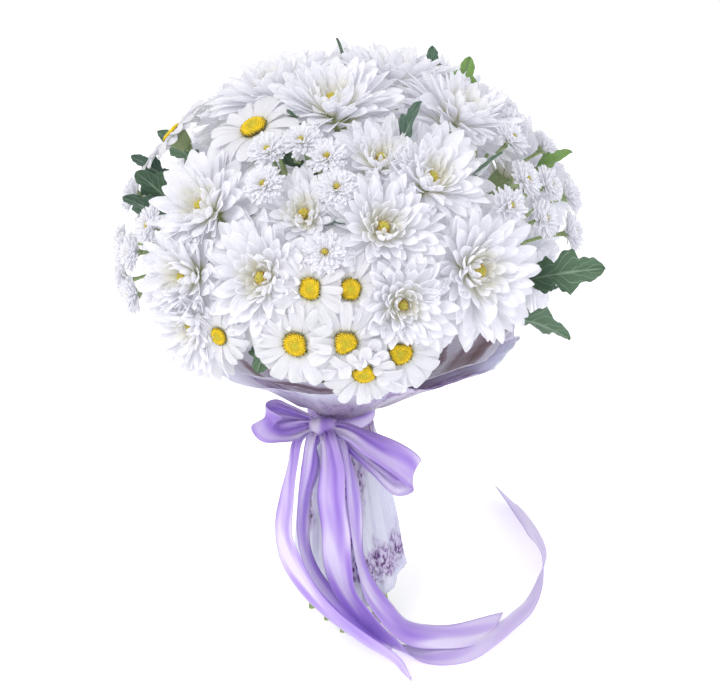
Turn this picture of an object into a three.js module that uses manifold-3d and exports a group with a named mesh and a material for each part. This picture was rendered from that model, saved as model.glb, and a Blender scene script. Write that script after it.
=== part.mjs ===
// A hand-tied bunch of white chrysanthemums, daisies and button chrysanthemums.
//
// Millimetres, +Z up. The bunch stands on its level-cut stem ends: the floor is z = 0 and the
// origin is under the middle of the flower head. The front of the bunch looks along -Y.
//
// Every flower stands on the head, a flattened ball. Its place there is an azimuth (0 at the
// front, growing towards +X) and a lift (0 at the widest part of the head, 90 at its top).

import * as THREE from 'three';
import Module from 'manifold-3d';

const wasm = await Module();
wasm.setup();

// ---------------------------------------------------------------- driving dimensions

const HEAD = { radius: 172, centreZ: 330, up: 146, down: 95 };
// the tie is a little to the left of the middle: the stems and wraps sway out to it and back
const TIE = { x: -9, z: 194, halfHeight: 8.4, upright: 10, swayAbove: 70 };
const FLOOR_RADIUS = 44;
const GAP = 0.35;
// a leaf is thin and leans, so the room that it needs is wider
const LEAF_ROOM = 1.6;
const CELL_GAP = 0.2;
const WALL_MARGIN = 2;
const LEAST_ROOM = 0.45;
const LEAST_DEPTH = 1.1;
const FOOT_SIDES = 6;

const STEM = { radius: 2.4, sides: 4, neck: 12, apexDrop: 30, twist: 34 };
// the stems pressed together in the tie: one solid bundle
const BUNDLE = { room: 0.6, sides: 16 };
// how the stems are drawn together in the tie: rounds in all, those that still pull, and the pull
const GATHER = { rounds: 700, pulls: 600, pull: 0.994 };
// low flowers' stems rise inside the collar before they bend out
const SHOULDER = { radius: 38, z: 240 };
const STALK = { half: 1.3, drop: 20 };
const TWIG = { radius: 1.6, sides: 3, drawnIn: 0.42 };
// how far above the floor each stem is cut, in turn
const STEM_CUTS = [0, 0, 5, 0, 11, 0, 0, 3];

// Flowers are given as parts of their radius: how far out and how high above their middle.
// Each layer of petals grows from a triangle of the flower's core: two edge corners and a
// keel corner below them.
const MUM = {
  sink: 0.38,
  top: 0.02,
  foot: [0.12, -0.56],
  layers: [
    {
      count: 4, edge: [0.1, 0.07], keel: [0.16, -0.03],
      middle: [0.24, 0.26], tip: [0.2, 0.46], half: 0.16, tipHalf: 0.11, depth: 0.055,
    },
    {
      count: 6, edge: [0.22, -0.08], keel: [0.27, -0.19],
      middle: [0.54, 0.13], tip: [0.82, 0.25], half: 0.235, tipHalf: 0.175, depth: 0.06,
    },
    {
      count: 8, edge: [0.27, -0.24], keel: [0.23, -0.38],
      middle: [0.68, -0.15], tip: [1.0, -0.18], half: 0.24, tipHalf: 0.19, depth: 0.06,
    },
  ],
};

const DAISY = {
  sink: 0.18,
  top: -0.02,
  foot: [0.14, -0.4],
  layers: [
    {
      count: 11, edge: [0.25, -0.02], keel: [0.23, -0.13],
      middle: [0.66, 0.05], tip: [1.0, -0.05], half: 0.165, tipHalf: 0.11, depth: 0.06,
    },
  ],
  disc: { radius: 0.3, height: 0.15, sides: 7, relief: 0.018 },
};

const BUTTON = {
  radius: 14.5,
  sink: 4,
  petals: 7,
  lower: { tip: [1.0, 0.1], notch: [0.6, -0.02] },
  upper: { tip: [0.68, 0.42], notch: [0.42, 0.36] },
  eye: 0.3,
  foot: -0.34,
};
// a spray: an axis that stands on its stem, and a branch out of it to each head
const SPRAY = { axis: 2, axisSides: 4, reach: 0.55, branch: 1.3, sides: 3, drop: 24, drawnIn: 0.38 };
// how far a petal's tip rises for each millimetre that its neighbours press it in
const PRESSED_RISE = 0.6;

// Wraps: rings of radius, height and pleat depth, from the rim of the collar down. A radius
// of null is snug round the tie.
const WRAP = {
  thickness: 0.8,
  snugPleat: 0.3,
  outer: {
    segments: 22,
    rings: [
      [131, 263, 4], [96, 249, 3], [50, 225, 2], [null, 203, 0.3],
      [null, 185, 0.3], [32, 147, 1.6], [41, 90, 3], [49, 20, 3],
    ],
  },
  inner: {
    segments: 16,
    rings: [[124, 268, 3], [90, 254, 2], [47, 230, 1], [null, 203, 0.3], [null, 189, 0.3]],
  },
};

// how much of a pleat's depth its rim goes up and down
const RIM_WAVE = 0.8;
// the collar stands up at the front: how much its two upper rings are drawn in, and raised
const STAND_UP = [{ drawnIn: 0.06, raised: 16 }, { drawnIn: 0.03, raised: 8 }];

const BINDING = { width: 6, thickness: 0.9, sides: 16 };
const RIBBON = { width: 25, thickness: 0.9, bandHeight: 17, bandThickness: 1.2, bandSides: 20 };
// how wide a ribbon is at its first points out of the knot
const PINCH = [0.2, 0.65];

// ---------------------------------------------------------------- flowers and leaves, by place

// azimuth, lift, radius, and how much deeper than its neighbours it sits
const MUMS = [
  [9, 34, 48, 0], [-22, 19, 46, 0], [33, 18.5, 50, 0], [12, 13, 43, 0], [28, 46, 46, 2],
  [13, 55, 40, 8], [-47, 33, 47, 0], [-45, 13, 46, 0], [-18, 75, 52, 0], [-94, 70, 50, 0],
  [77, 60, 50, 0], [134, 75, 52, 0], [-14, 38, 36, 8], [-41, 0, 40, 0],
  [116, 18, 54, 0], [152, 8, 54, 0], [-172, 14, 54, 0], [-136, 10, 54, 0],
  [134, 46, 52, 0], [-176, 50, 52, 0], [-138, 44, 50, 0], [86, 0, 45, 24],
];
const DAISIES = [
  [-45, 57, 33, 0], [-98, 38, 33, 0], [-114, 56, 29, 4], [-9, 18, 27, 0], [-12, 3, 30, 0],
  [-1, 4, 30, 0], [3, -8, 29, 0], [11, 0, 31, 3], [0, 18, 26, 3], [-31, 1, 22, 2],
  [112, -9, 31, 6], [172, -10, 32, 0], [-110, 4, 32, 0],
];
// daisies grow several to a stem: the numbers of those that share one
const DAISY_STEMS = [[0, 1, 2], [3, 4, 9], [5, 6, 7, 8], [10], [11], [12]];
const SPRAYS = {
  centre: [[-26, 42], [-8, 51], [-4, 43], [-6, 27], [-19, 55], [-30, 51]],
  right: [[46, 32], [58, 36], [57, 25], [70, 16], [68, 31], [82, 22], [93, 34]],
  upper_right: [[68, 46], [84, 47], [98, 50]],
  left: [[-66, 12], [-76, -3], [-74, 8], [-88, 20], [-60, 22], [-84, 6], [-64, 0]],
  back: [[-157, -4], [-154, 30], [166, 28], [-162, 34]],
};
// azimuth, lift, length, width, how far the tip stands past the flowers, lean from straight
// out, the way it leans (0 up, 90 towards growing azimuth), spin of the blade
const LEAVES = [
  [-166, 76, 46, 20, 9, 8, 0, 80], [136, 62, 44, 20, 12, 10, 0, 70], [112, 60, 46, 24, 14, 0, 0, 90],
  [29, 60, 58, 22, 16, 6, 0, 82], [-4, 34, 46, 24, 1, 30, 180, 6], [50, 44, 56, 20, 8, 36, 60, 76],
  [84, 32, 52, 28, 13, 10, 0, 10], [60, 10, 66, 34, 28, 10, 0, 60], [50, -4, 58, 34, 20, 20, 90, 30],
  [-72, 24, 50, 24, 10, 14, 0, 60], [-72, 31, 50, 24, 10, 14, 0, 84], [-21, -10, 40, 24, 0, 36, 180, 0],
  [-29, 62, 46, 20, 3, 20, 90, 80], [-92, 28, 46, 18, 10, 6, 0, 84],
  [-114, 27, 54, 26, 12, 8, 0, 88], [134, -10, 58, 32, 14, 16, 180, 50],
  [-153, -18, 56, 30, 12, 16, 180, 40],
];

// ---------------------------------------------------------------- small helpers

const radians = THREE.MathUtils.degToRad;
const vec = (x, y, z) => new THREE.Vector3(x, y, z);

function seeded(seed) {
  let state = seed;
  return (spread) => {
    state = (state * 16807) % 2147483647;
    return ((state / 2147483647) * 2 - 1) * spread;
  };
}

// A solid from points and triangles; triangles that face inwards as a whole are turned round.
function solidOf(points, faces) {
  const corner = ([a, b, c]) => points[a].dot(vec(0, 0, 0).crossVectors(points[b], points[c]));
  const volume = faces.reduce((sum, face) => sum + corner(face), 0);
  const outward = volume < 0 ? faces.map(([a, b, c]) => [a, c, b]) : faces;
  const vertProperties = new Float32Array(points.flatMap((point) => point.toArray()));
  const triVerts = new Uint32Array(outward.flat());
  return new wasm.Manifold(new wasm.Mesh({ numProp: 3, vertProperties, triVerts }));
}

// A solid through sections with equal numbers of points; the ends are closed flat.
function loft(sections) {
  const count = sections[0].length;
  const points = sections.flat();
  const faces = [];
  for (let i = 0; i + 1 < sections.length; i += 1) {
    for (let k = 0; k < count; k += 1) {
      const next = (k + 1) % count;
      const [a, b, c, d] = [i * count + k, i * count + next, (i + 1) * count + next, (i + 1) * count + k];
      faces.push([a, b, c], [a, c, d]);
    }
  }
  const last = (sections.length - 1) * count;
  for (let k = 1; k + 1 < count; k += 1) {
    faces.push([0, k + 1, k], [last, last + k, last + k + 1]);
  }
  return solidOf(points, faces);
}

// The corners of a round bar at each of its points. The first section is level, and so is
// the last one where levelTop says so. side is the way that the first corner points.
function barSections(points, radii, sides, { levelTop = false, side = vec(1, 0, 0) } = {}) {
  const last = points.length - 1;
  return points.map((point, i) => {
    const before = points[Math.max(i - 1, 0)];
    const after = points[Math.min(i + 1, last)];
    const level = i === 0 || (levelTop && i === last);
    const along = level ? vec(0, 0, 1) : after.clone().sub(before).normalize();
    const across = side.clone().addScaledVector(along, -along.dot(side)).normalize();
    const other = vec(0, 0, 0).crossVectors(along, across);
    return Array.from({ length: sides }, (_, k) => {
      const turn = (2 * Math.PI * k) / sides;
      return point.clone().addScaledVector(across, radii[i] * Math.cos(turn))
        .addScaledVector(other, radii[i] * Math.sin(turn));
    });
  });
}

const bar = (...place) => loft(barSections(...place));

const union = (solids) => solids.reduce((whole, solid) => whole.add(solid));

function largestPiece(solid) {
  const pieces = solid.decompose();
  return pieces.reduce((best, piece) => (piece.volume() > best.volume() ? piece : best));
}

// How far the middle of the bundle is to the side at a height.
function sway(z) {
  const span = z > TIE.z ? TIE.swayAbove : TIE.z - TIE.upright;
  const away = Math.max(0, Math.abs(z - TIE.z) - TIE.upright);
  return TIE.x * Math.max(0, 1 - away / span);
}

// ---------------------------------------------------------------- places on the head

// The place of a flower: its middle, the way it faces, and two directions across it.
function placeOn(azimuth, lift, sink) {
  const height = lift >= 0 ? HEAD.up : HEAD.down;
  const [turn, rise] = [radians(azimuth), radians(lift)];
  const face = vec(
    HEAD.radius * Math.cos(rise) * Math.sin(turn),
    -HEAD.radius * Math.cos(rise) * Math.cos(turn),
    HEAD.centreZ + height * Math.sin(rise),
  );
  const steepness = (HEAD.radius / height) ** 2;
  const out = vec(face.x, face.y, (face.z - HEAD.centreZ) * steepness).normalize();
  const east = vec(Math.cos(turn), Math.sin(turn), 0);
  const north = vec(0, 0, 0).crossVectors(out, east).normalize();
  return { middle: face.clone().addScaledVector(out, -sink), out, east, north };
}

// Each flower keeps to its own cell: a wall stands between it and every near neighbour,
// shared out by their sizes.
function cellOf(site, sites) {
  return sites.filter((other) => other !== site).flatMap((other) => {
    const apart = other.middle.clone().sub(site.middle);
    const distance = apart.length();
    if (distance > site.radius + other.radius + 10) return [];
    const normal = apart.normalize();
    const share = (distance * site.radius) / (site.radius + other.radius);
    return [{ normal, offset: normal.dot(site.middle) + share - CELL_GAP }];
  });
}

function trimToCell(solid, cell) {
  return cell.reduce((rest, { normal, offset }) => (
    rest.trimByPlane(normal.clone().negate().toArray(), -offset)
  ), solid);
}

// How much of its radius a flower has room for in one direction.
function roomFor(site, cell, sideways) {
  const reaches = cell.map(({ normal, offset }) => {
    const towards = normal.dot(sideways);
    return towards > 0.08 ? (offset - WALL_MARGIN - normal.dot(site.middle)) / towards : site.radius;
  });
  return Math.max(LEAST_ROOM, Math.min(1, Math.min(...reaches) / site.radius));
}

// The shape of a flower in its place: a turn about its axis, then a distance and a height as
// parts of its radius. Where a neighbour is near, all of it is pressed in and up alike.
function flowerMap(site, cell) {
  const { place, radius } = site;
  return (turn, distance, height) => {
    const sideways = place.east.clone().multiplyScalar(Math.cos(turn))
      .addScaledVector(place.north, Math.sin(turn));
    const part = roomFor(site, cell, sideways);
    const rise = PRESSED_RISE * distance ** 2 * (1 - part);
    return {
      part,
      point: site.middle.clone().addScaledVector(sideways, distance * part * radius)
        .addScaledVector(place.out, (height + rise) * radius),
    };
  };
}

// ---------------------------------------------------------------- flowers

// Joins two rings of corners, the upper one possibly a single corner, by triangles.
function zip(upper, lower, faces) {
  const ahead = (ring, k) => ring.phase + (k * 2 * Math.PI) / ring.corners.length;
  const at = (ring, k) => ring.corners[k % ring.corners.length];
  const upperSteps = upper.corners.length === 1 ? 0 : upper.corners.length;
  let [i, j] = [0, 0];
  while (i < upperSteps || j < lower.corners.length) {
    const lowerIsNearer = ahead(lower, j + 0.5) <= ahead(upper, i + 0.5);
    const lowerNext = j < lower.corners.length && (i >= upperSteps || lowerIsNearer);
    if (lowerNext) {
      faces.push([at(lower, j + 1), at(lower, j), at(upper, i)]);
      j += 1;
    } else {
      faces.push([at(upper, i), at(upper, i + 1), at(lower, j)]);
      i += 1;
    }
  }
}

// A flower in one piece: rings of corners from the top of its core down to its foot, with a
// three-sided petal drawn out of every second triangle of each layer.
function flowerHead(site, form, cell) {
  const points = [];
  const faces = [];
  const jitter = seeded(site.seed);
  const map = flowerMap(site, cell);
  const corner = (turn, [distance, height]) => points.push(map(turn, distance, height).point) - 1;

  function drawPetal(root, turn, layer) {
    const stretch = 1 + jitter(0.06);
    const lifted = jitter(0.025);
    const middle = map(turn, layer.middle[0] * stretch, layer.middle[1] + 0.5 * lifted);
    const tip = map(turn, layer.tip[0] * stretch, layer.tip[1] + lifted);
    const sideways = site.place.north.clone().multiplyScalar(Math.cos(turn))
      .addScaledVector(site.place.east, -Math.sin(turn));
    const across = (spot, half) => [-1, 1].map((way) => (
      points.push(spot.point.clone().addScaledVector(sideways, way * half * spot.part * site.radius)) - 1
    ));
    const along = middle.point.clone().sub(points[root[2]]).normalize();
    const below = vec(0, 0, 0).crossVectors(sideways, along).normalize();
    const depth = Math.max(LEAST_DEPTH, layer.depth * middle.part * site.radius);
    const [a, b] = across(middle, layer.half);
    const keel = points.push(middle.point.clone().addScaledVector(below, depth)) - 1;
    const [c, d] = across(tip, layer.tipHalf);
    const waist = [a, b, keel];
    root.forEach((p, k) => {
      const [q, r, t] = [root[(k + 1) % 3], waist[(k + 1) % 3], waist[k]];
      faces.push([p, q, r], [p, r, t]);
    });
    faces.push([a, b, d], [a, d, c], [b, keel, d], [keel, a, c], [keel, c, d]);
  }

  let above = { corners: [corner(0, [0, form.top])], phase: 0 };
  form.layers.forEach((layer, row) => {
    const { count } = layer;
    const step = (2 * Math.PI) / count;
    const phase = (row % 2) * 0.5 * step;
    const edges = Array.from({ length: count }, (_, k) => corner(phase + (k - 0.5) * step, layer.edge));
    const keels = Array.from({ length: count }, (_, k) => corner(phase + k * step, layer.keel));
    zip(above, { corners: edges, phase: phase - 0.5 * step }, faces);
    edges.forEach((edge, k) => {
      const turn = phase + k * step + jitter(0.06 * step);
      drawPetal([edge, edges[(k + 1) % count], keels[k]], turn, layer);
      faces.push([edge, keels[k], keels[(k + count - 1) % count]]);
    });
    above = { corners: keels, phase };
  });
  const footTurns = Array.from({ length: FOOT_SIDES }, (_, k) => (2 * Math.PI * k) / FOOT_SIDES);
  const foot = footTurns.map((turn) => corner(turn, form.foot));
  zip(above, { corners: foot, phase: 0 }, faces);
  for (let k = 1; k + 1 < FOOT_SIDES; k += 1) faces.push([foot[0], foot[k], foot[k + 1]]);
  return solidOf(points, faces);
}

// The yellow disc of a daisy: a low dome whose surface goes up and down like its florets.
function daisyDisc(site, cell) {
  const { sides, radius, height, relief } = DAISY.disc;
  const map = flowerMap(site, cell);
  const base = DAISY.top + (2 * GAP) / site.radius;
  const rings = [[0.7, 0], [1, 0.4], [0.5, 1]].map(([part, rise], row) => (
    Array.from({ length: sides }, (_, k) => {
      const bump = row === 0 ? 0 : relief * (((k + row) % 2) * 2 - 1);
      return map((2 * Math.PI * k) / sides, part * radius + 0.5 * bump, base + rise * height + bump).point;
    })
  ));
  return loft(rings);
}

// The corners of a branch at its points, which are given from its flower down.
function branchSections(points, place, radius) {
  const upwards = [...points].reverse();
  return barSections(upwards, upwards.map(() => radius), SPRAY.sides, { side: place.east }).reverse();
}

// A button flower: two rows of pointed petals round a raised eye, narrowing below to the
// branch that carries it. below holds the points of the branch, from the flower down.
function buttonHead(site, cell, below) {
  const { petals: count, lower, upper, eye, foot } = BUTTON;
  const { place, radius } = site;
  const map = flowerMap(site, cell);
  const points = [];
  const faces = [];
  const star = (shape, offset) => Array.from({ length: 2 * count }, (_, k) => {
    const [distance, height] = k % 2 === 0 ? shape.tip : shape.notch;
    return points.push(map((Math.PI * (k + offset)) / count, distance, height).point) - 1;
  });
  const [low, high] = [star(lower, 0), star(upper, 1)];
  const top = points.push(map(0, 0, eye).point) - 1;
  low.forEach((a, k) => {
    const next = (k + 1) % low.length;
    const [b, c, d] = [low[next], high[next], high[k]];
    faces.push([a, c, b], [a, d, c], [top, c, d]);
  });
  const neck = site.middle.clone().addScaledVector(place.out, foot * radius);
  const sections = branchSections([neck, ...below], place, SPRAY.branch);
  const rings = sections.map((section) => section.map((corner) => points.push(corner) - 1));
  zip({ corners: low, phase: 0 }, { corners: rings[0], phase: 0 }, faces);
  for (let row = 0; row + 1 < rings.length; row += 1) {
    rings[row].forEach((a, k) => {
      const next = (k + 1) % SPRAY.sides;
      const [b, c, d] = [rings[row][next], rings[row + 1][next], rings[row + 1][k]];
      faces.push([a, b, c], [a, c, d]);
    });
  }
  faces.push(rings[rings.length - 1]);
  return solidOf(points, faces);
}

// ---------------------------------------------------------------- stems

// Stems run straight towards a point below the tie, so that they don't cross, and are then
// drawn together until they lie side by side in the tie.
function gatherStems(stems) {
  const apex = TIE.z - STEM.apexDrop;
  for (const stem of stems) {
    const { start } = stem;
    stem.waist = new THREE.Vector2(start.x, start.y).multiplyScalar((TIE.z - apex) / (start.z - apex));
  }
  for (let round = 0; round < GATHER.rounds; round += 1) {
    if (round < GATHER.pulls) stems.forEach((stem) => stem.waist.multiplyScalar(GATHER.pull));
    for (let i = 0; i < stems.length; i += 1) {
      for (let j = i + 1; j < stems.length; j += 1) {
        const between = stems[j].waist.clone().sub(stems[i].waist);
        const short = stems[i].radius + stems[j].radius + GAP - between.length();
        if (short <= 0) continue;
        between.normalize().multiplyScalar(0.5 * short);
        stems[i].waist.sub(between);
        stems[j].waist.add(between);
      }
    }
  }
}

const bundleRadius = (stems) => Math.max(...stems.map((stem) => stem.waist.length() + stem.radius));

// A stem's place in the tie, at a height there.
const inTie = (stem, z) => vec(stem.waist.x + TIE.x, stem.waist.y, z);

function shoulderOf(high, start) {
  const middle = sway(SHOULDER.z);
  const spot = high.clone().lerp(start, (SHOULDER.z - high.z) / (start.z - high.z));
  const reach = Math.hypot(spot.x - middle, spot.y);
  if (reach <= SHOULDER.radius) return [];
  const part = SHOULDER.radius / reach;
  return [vec(middle + (spot.x - middle) * part, spot.y * part, SHOULDER.z)];
}

// A stem from its cut end to its top. Inside the tie it is part of the bundle, so it is in
// two lengths, each with a level end against the bundle.
function stemBar(stem, spread, extra) {
  const { waist, start, top, calyx, cut, sides } = stem;
  const high = inTie(stem, TIE.z + TIE.halfHeight);
  const low = inTie(stem, TIE.z - TIE.halfHeight);
  const foot = waist.clone().multiplyScalar(spread).rotateAround(new THREE.Vector2(), radians(STEM.twist));
  const floor = vec(foot.x, foot.y, 0);
  floor.lerp(low, cut / low.z);
  const upper = [high, ...shoulderOf(high, start), ...top];
  const radii = upper.map(() => stem.radius + extra);
  if (calyx) radii[radii.length - 1] = calyx + extra;
  const twigs = (stem.twigs ?? []).map((twig) => (
    bar([start, ...twig.top], [TWIG.radius + extra, TWIG.radius + extra, twig.calyx + extra], TWIG.sides)
  ));
  return union([
    bar([floor, low], [stem.radius + extra, stem.radius + extra], sides, { levelTop: true }),
    bar(upper, radii, sides, { levelTop: stem.levelTop }),
    ...twigs,
  ]);
}

// ---------------------------------------------------------------- leaves

// Half of the outline of a lobed leaf: how far along, and how far out, as parts of its
// length and of half its width.
const LEAF_OUTLINE = [[0.16, 0.2], [0.34, 0.82], [0.44, 0.38], [0.64, 1], [0.76, 0.42]];
const LEAF_RIB = [0.16, 0.44, 0.76];
const LEAF = { thickness: 0.8, arch: 0.1, fold: 0.16 };
// Triangles of the left half of the blade. Corners are b (base), 1 to 5 (outline), t (tip)
// and x, y, z (rib).
const LEAF_FACES = ['b1x', '12x', '23x', 'x3y', '34y', '45y', 'y5z', '5tz'];

function leafFrame([azimuth, lift, length, width, stands, lean, turn, spin]) {
  const place = placeOn(azimuth, lift, 0);
  const leanWay = place.north.clone().multiplyScalar(Math.cos(radians(turn)))
    .addScaledVector(place.east, Math.sin(radians(turn)));
  const along = place.out.clone().multiplyScalar(Math.cos(radians(lean)))
    .addScaledVector(leanWay, Math.sin(radians(lean)));
  const side = vec(0, 0, 0).crossVectors(along, leanWay.clone().addScaledVector(place.out, 0.01)).normalize()
    .applyAxisAngle(along, radians(spin));
  const up = vec(0, 0, 0).crossVectors(side, along);
  const tip = place.middle.clone().addScaledVector(place.out, stands);
  const base = tip.clone().addScaledVector(along, -length);
  return { base, along, side, up, length, half: width / 2 };
}

// The four corners of a leaf's stalk where it ends in the stem that carries it.
function stalkEnd({ base, side, up }, root, extra) {
  const way = base.clone().sub(root).normalize();
  const across = side.clone().addScaledVector(way, -side.dot(way)).normalize();
  const over = vec(0, 0, 0).crossVectors(across, way).normalize();
  if (over.dot(up) < 0) over.negate();
  const size = STALK.half + extra;
  return [[1, 1], [-1, 1], [-1, -1], [1, -1]].map(([a, b]) => (
    root.clone().addScaledVector(across, a * size).addScaledVector(over, b * size)
  ));
}

// A thin arched blade with lobes, folded a little along its rib, and its stalk down to root.
// extra makes it thicker and larger all round, for the room that it needs.
function leafBody(frame, root, extra) {
  const { base, along, side, up, length, half } = frame;
  const at = ([part, out], lift) => {
    const arch = LEAF.arch * length * (1 - 4 * (part - 0.5) ** 2);
    return base.clone()
      .addScaledVector(along, part * length + extra * Math.sign(part - 0.5))
      .addScaledVector(side, out * half + extra * Math.sign(out))
      .addScaledVector(up, arch + LEAF.fold * Math.abs(out) * half + lift);
  };
  const spots = [];
  const face = { left: {}, right: {} };
  const add = (key, way, spot) => { face[way][key] = spots.push(spot) - 1; };
  ['left', 'right'].forEach((way, k) => {
    const sign = k === 0 ? 1 : -1;
    add('b', way, [0, (sign * STALK.half) / half]);
    LEAF_OUTLINE.forEach(([part, out], i) => add(`${i + 1}`, way, [part, sign * out]));
  });
  const shared = [['x', LEAF_RIB[0]], ['y', LEAF_RIB[1]], ['z', LEAF_RIB[2]], ['t', 1]];
  shared.forEach(([key, part]) => {
    add(key, 'left', [part, 0]);
    face.right[key] = face.left[key];
  });
  const { left, right } = face;
  const halves = LEAF_FACES.map((name) => [...name]);
  const top = [
    ...halves.map(([a, b, c]) => [left[a], left[b], left[c]]),
    ...halves.map(([a, b, c]) => [right[a], right[c], right[b]]),
    [left.b, left.x, right.b],
  ];
  const count = spots.length;
  const thick = LEAF.thickness / 2 + extra;
  const ends = stalkEnd(frame, root, extra);
  const points = [...spots.map((spot) => at(spot, thick)), ...spots.map((spot) => at(spot, -thick)), ...ends];
  const faces = [...top, ...top.map(([a, b, c]) => [a + count, c + count, b + count])];
  const rim = [...'b12345t'].map((key) => left[key]).concat([...'54321b'].map((key) => right[key]));
  for (let k = 0; k + 1 < rim.length; k += 1) {
    const [a, b] = [rim[k], rim[k + 1]];
    faces.push([b, a, a + count], [b, a + count, b + count]);
  }
  const near = [left.b, right.b, right.b + count, left.b + count];
  const far = ends.map((_, k) => 2 * count + k);
  near.forEach((a, k) => {
    const next = (k + 1) % near.length;
    faces.push([a, near[next], far[k]], [near[next], far[next], far[k]]);
  });
  faces.push([far[0], far[1], far[2]], [far[0], far[2], far[3]]);
  return solidOf(points, faces);
}

// ---------------------------------------------------------------- wraps, binding and ribbon

// Which way the inside of a sheet is at each of its rings: how much of it inwards, and upwards.
function insideOf(rings, snug) {
  return rings.map((_, row) => {
    const above = rings[Math.max(row - 1, 0)];
    const below = rings[Math.min(row + 1, rings.length - 1)];
    const [wider, higher] = [(above[0] ?? snug) - (below[0] ?? snug), above[1] - below[1]];
    const length = Math.hypot(wider, higher);
    return { inwards: higher / length, upwards: wider / length };
  });
}

// A sheet that runs all the way round: rings from rim to hem, each with its pleats.
function wrapSheet({ rings, segments }, snug, pleats) {
  const inside = insideOf(rings, snug);
  const corner = (k, [radius, height, depth], row, inset) => {
    const turn = (2 * Math.PI * k) / segments;
    const wave = depth * pleats(turn, row, k);
    const stand = STAND_UP[row] ?? { drawnIn: 0, raised: 0 };
    const front = Math.max(0, Math.cos(turn)) ** 0.7;
    const r = (radius ?? snug) * (1 - stand.drawnIn * front) + wave - inset * inside[row].inwards;
    const raised = stand.raised * front + (row === 0 ? RIM_WAVE * wave : 0) + inset * inside[row].upwards;
    return vec(sway(height) + r * Math.sin(turn), -r * Math.cos(turn), height + raised);
  };
  const face = (inset) => rings.map((ring, row) => (
    Array.from({ length: segments }, (_, k) => corner(k, ring, row, inset))
  ));
  const outer = face(0);
  const inner = face(WRAP.thickness);
  const around = [...outer, ...inner.reverse()];
  const points = around.flat();
  const faces = [];
  around.forEach((_, row) => {
    const below = ((row + 1) % around.length) * segments;
    for (let k = 0; k < segments; k += 1) {
      const next = (k + 1) % segments;
      const [a, b, c, d] = [row * segments + k, row * segments + next, below + next, below + k];
      // both faces are split along the same diagonals, so that they stay apart
      faces.push(...(row < rings.length ? [[a, b, c], [a, c, d]] : [[a, b, d], [b, c, d]]));
    }
  });
  return solidOf(points, faces);
}

// A flat ring round the tie, clear of everything inside the given radius.
function hoop(clearance, thickness, width, sides) {
  const inner = clearance / Math.cos(Math.PI / sides);
  const [low, high] = [TIE.z - width / 2, TIE.z + width / 2];
  const rings = [[inner, high], [inner + thickness, high], [inner + thickness, low], [inner, low]];
  const points = rings.flatMap(([radius, z]) => Array.from({ length: sides }, (_, k) => {
    const turn = (2 * Math.PI * k) / sides;
    return vec(TIE.x + radius * Math.cos(turn), radius * Math.sin(turn), z);
  }));
  const faces = [];
  rings.forEach((_, row) => {
    const below = ((row + 1) % rings.length) * sides;
    for (let k = 0; k < sides; k += 1) {
      const next = (k + 1) % sides;
      const [a, b, c, d] = [row * sides + k, row * sides + next, below + next, below + k];
      faces.push([a, b, c], [a, c, d]);
    }
  });
  return solidOf(points, faces);
}

// A length of ribbon: [x, y, z, and the way its width points] at each hand-chosen point.
function ribbonStrip(route, closed) {
  const curve = new THREE.CatmullRomCurve3(route.map(([x, y, z]) => vec(x, y, z)), false, 'centripetal');
  const ways = new THREE.CatmullRomCurve3(route.map(([, , , x, y, z]) => vec(x, y, z)), false, 'centripetal');
  const steps = route.length - 1;
  const sections = route.map((_, i) => {
    const t = i / steps;
    const along = curve.getTangent(t);
    const across = ways.getPoint(t);
    across.addScaledVector(along, -across.dot(along)).normalize();
    const through = vec(0, 0, 0).crossVectors(along, across);
    const spot = curve.getPoint(t);
    const fromKnot = Math.min(i, closed ? steps - i : i);
    const [w, h] = [(RIBBON.width / 2) * (PINCH[fromKnot] ?? 1), RIBBON.thickness / 2];
    return [[w, h], [-w, h], [-w, -h], [w, -h]].map(([a, b]) => (
      spot.clone().addScaledVector(across, a).addScaledVector(through, b)
    ));
  });
  return loft(sections);
}

// ---------------------------------------------------------------- bow and tails, by place

// Points of each ribbon: x, y, z, then the way its width points.
const LOOPS = [
  [
    [-30, -33, 199, 0, 0.5, 0.9], [-42, -44, 202, 0, 0.9, 0.3], [-54, -52, 205, 0, 1, 0.1],
    [-62, -52, 208, 0.3, 0.7, 0.5], [-65, -46, 213, 0.5, 0.5, 0.8], [-59, -40, 214, 0.3, 0.4, 0.9],
    [-50, -35, 210, 0, 0.4, 0.9], [-31, -31, 202, 0, 0.4, 0.9],
  ],
  [
    [-16, -33, 199, 0.2, 0.6, 0.8], [-1, -43, 199, 0.2, 0.9, 0.3], [14, -50, 193, 0.4, 0.8, 0.4],
    [31, -53, 184, 0.4, 0.8, 0.5], [44, -52, 173, 0.4, 0.7, 0.6], [49, -48, 163, 0.3, 0.7, 0.6],
    [37, -44, 154, 0.3, 0.8, 0.5], [18, -40, 166, 0.2, 0.9, 0.3], [-14, -31, 194, 0, 0.5, 0.9],
  ],
];
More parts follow.
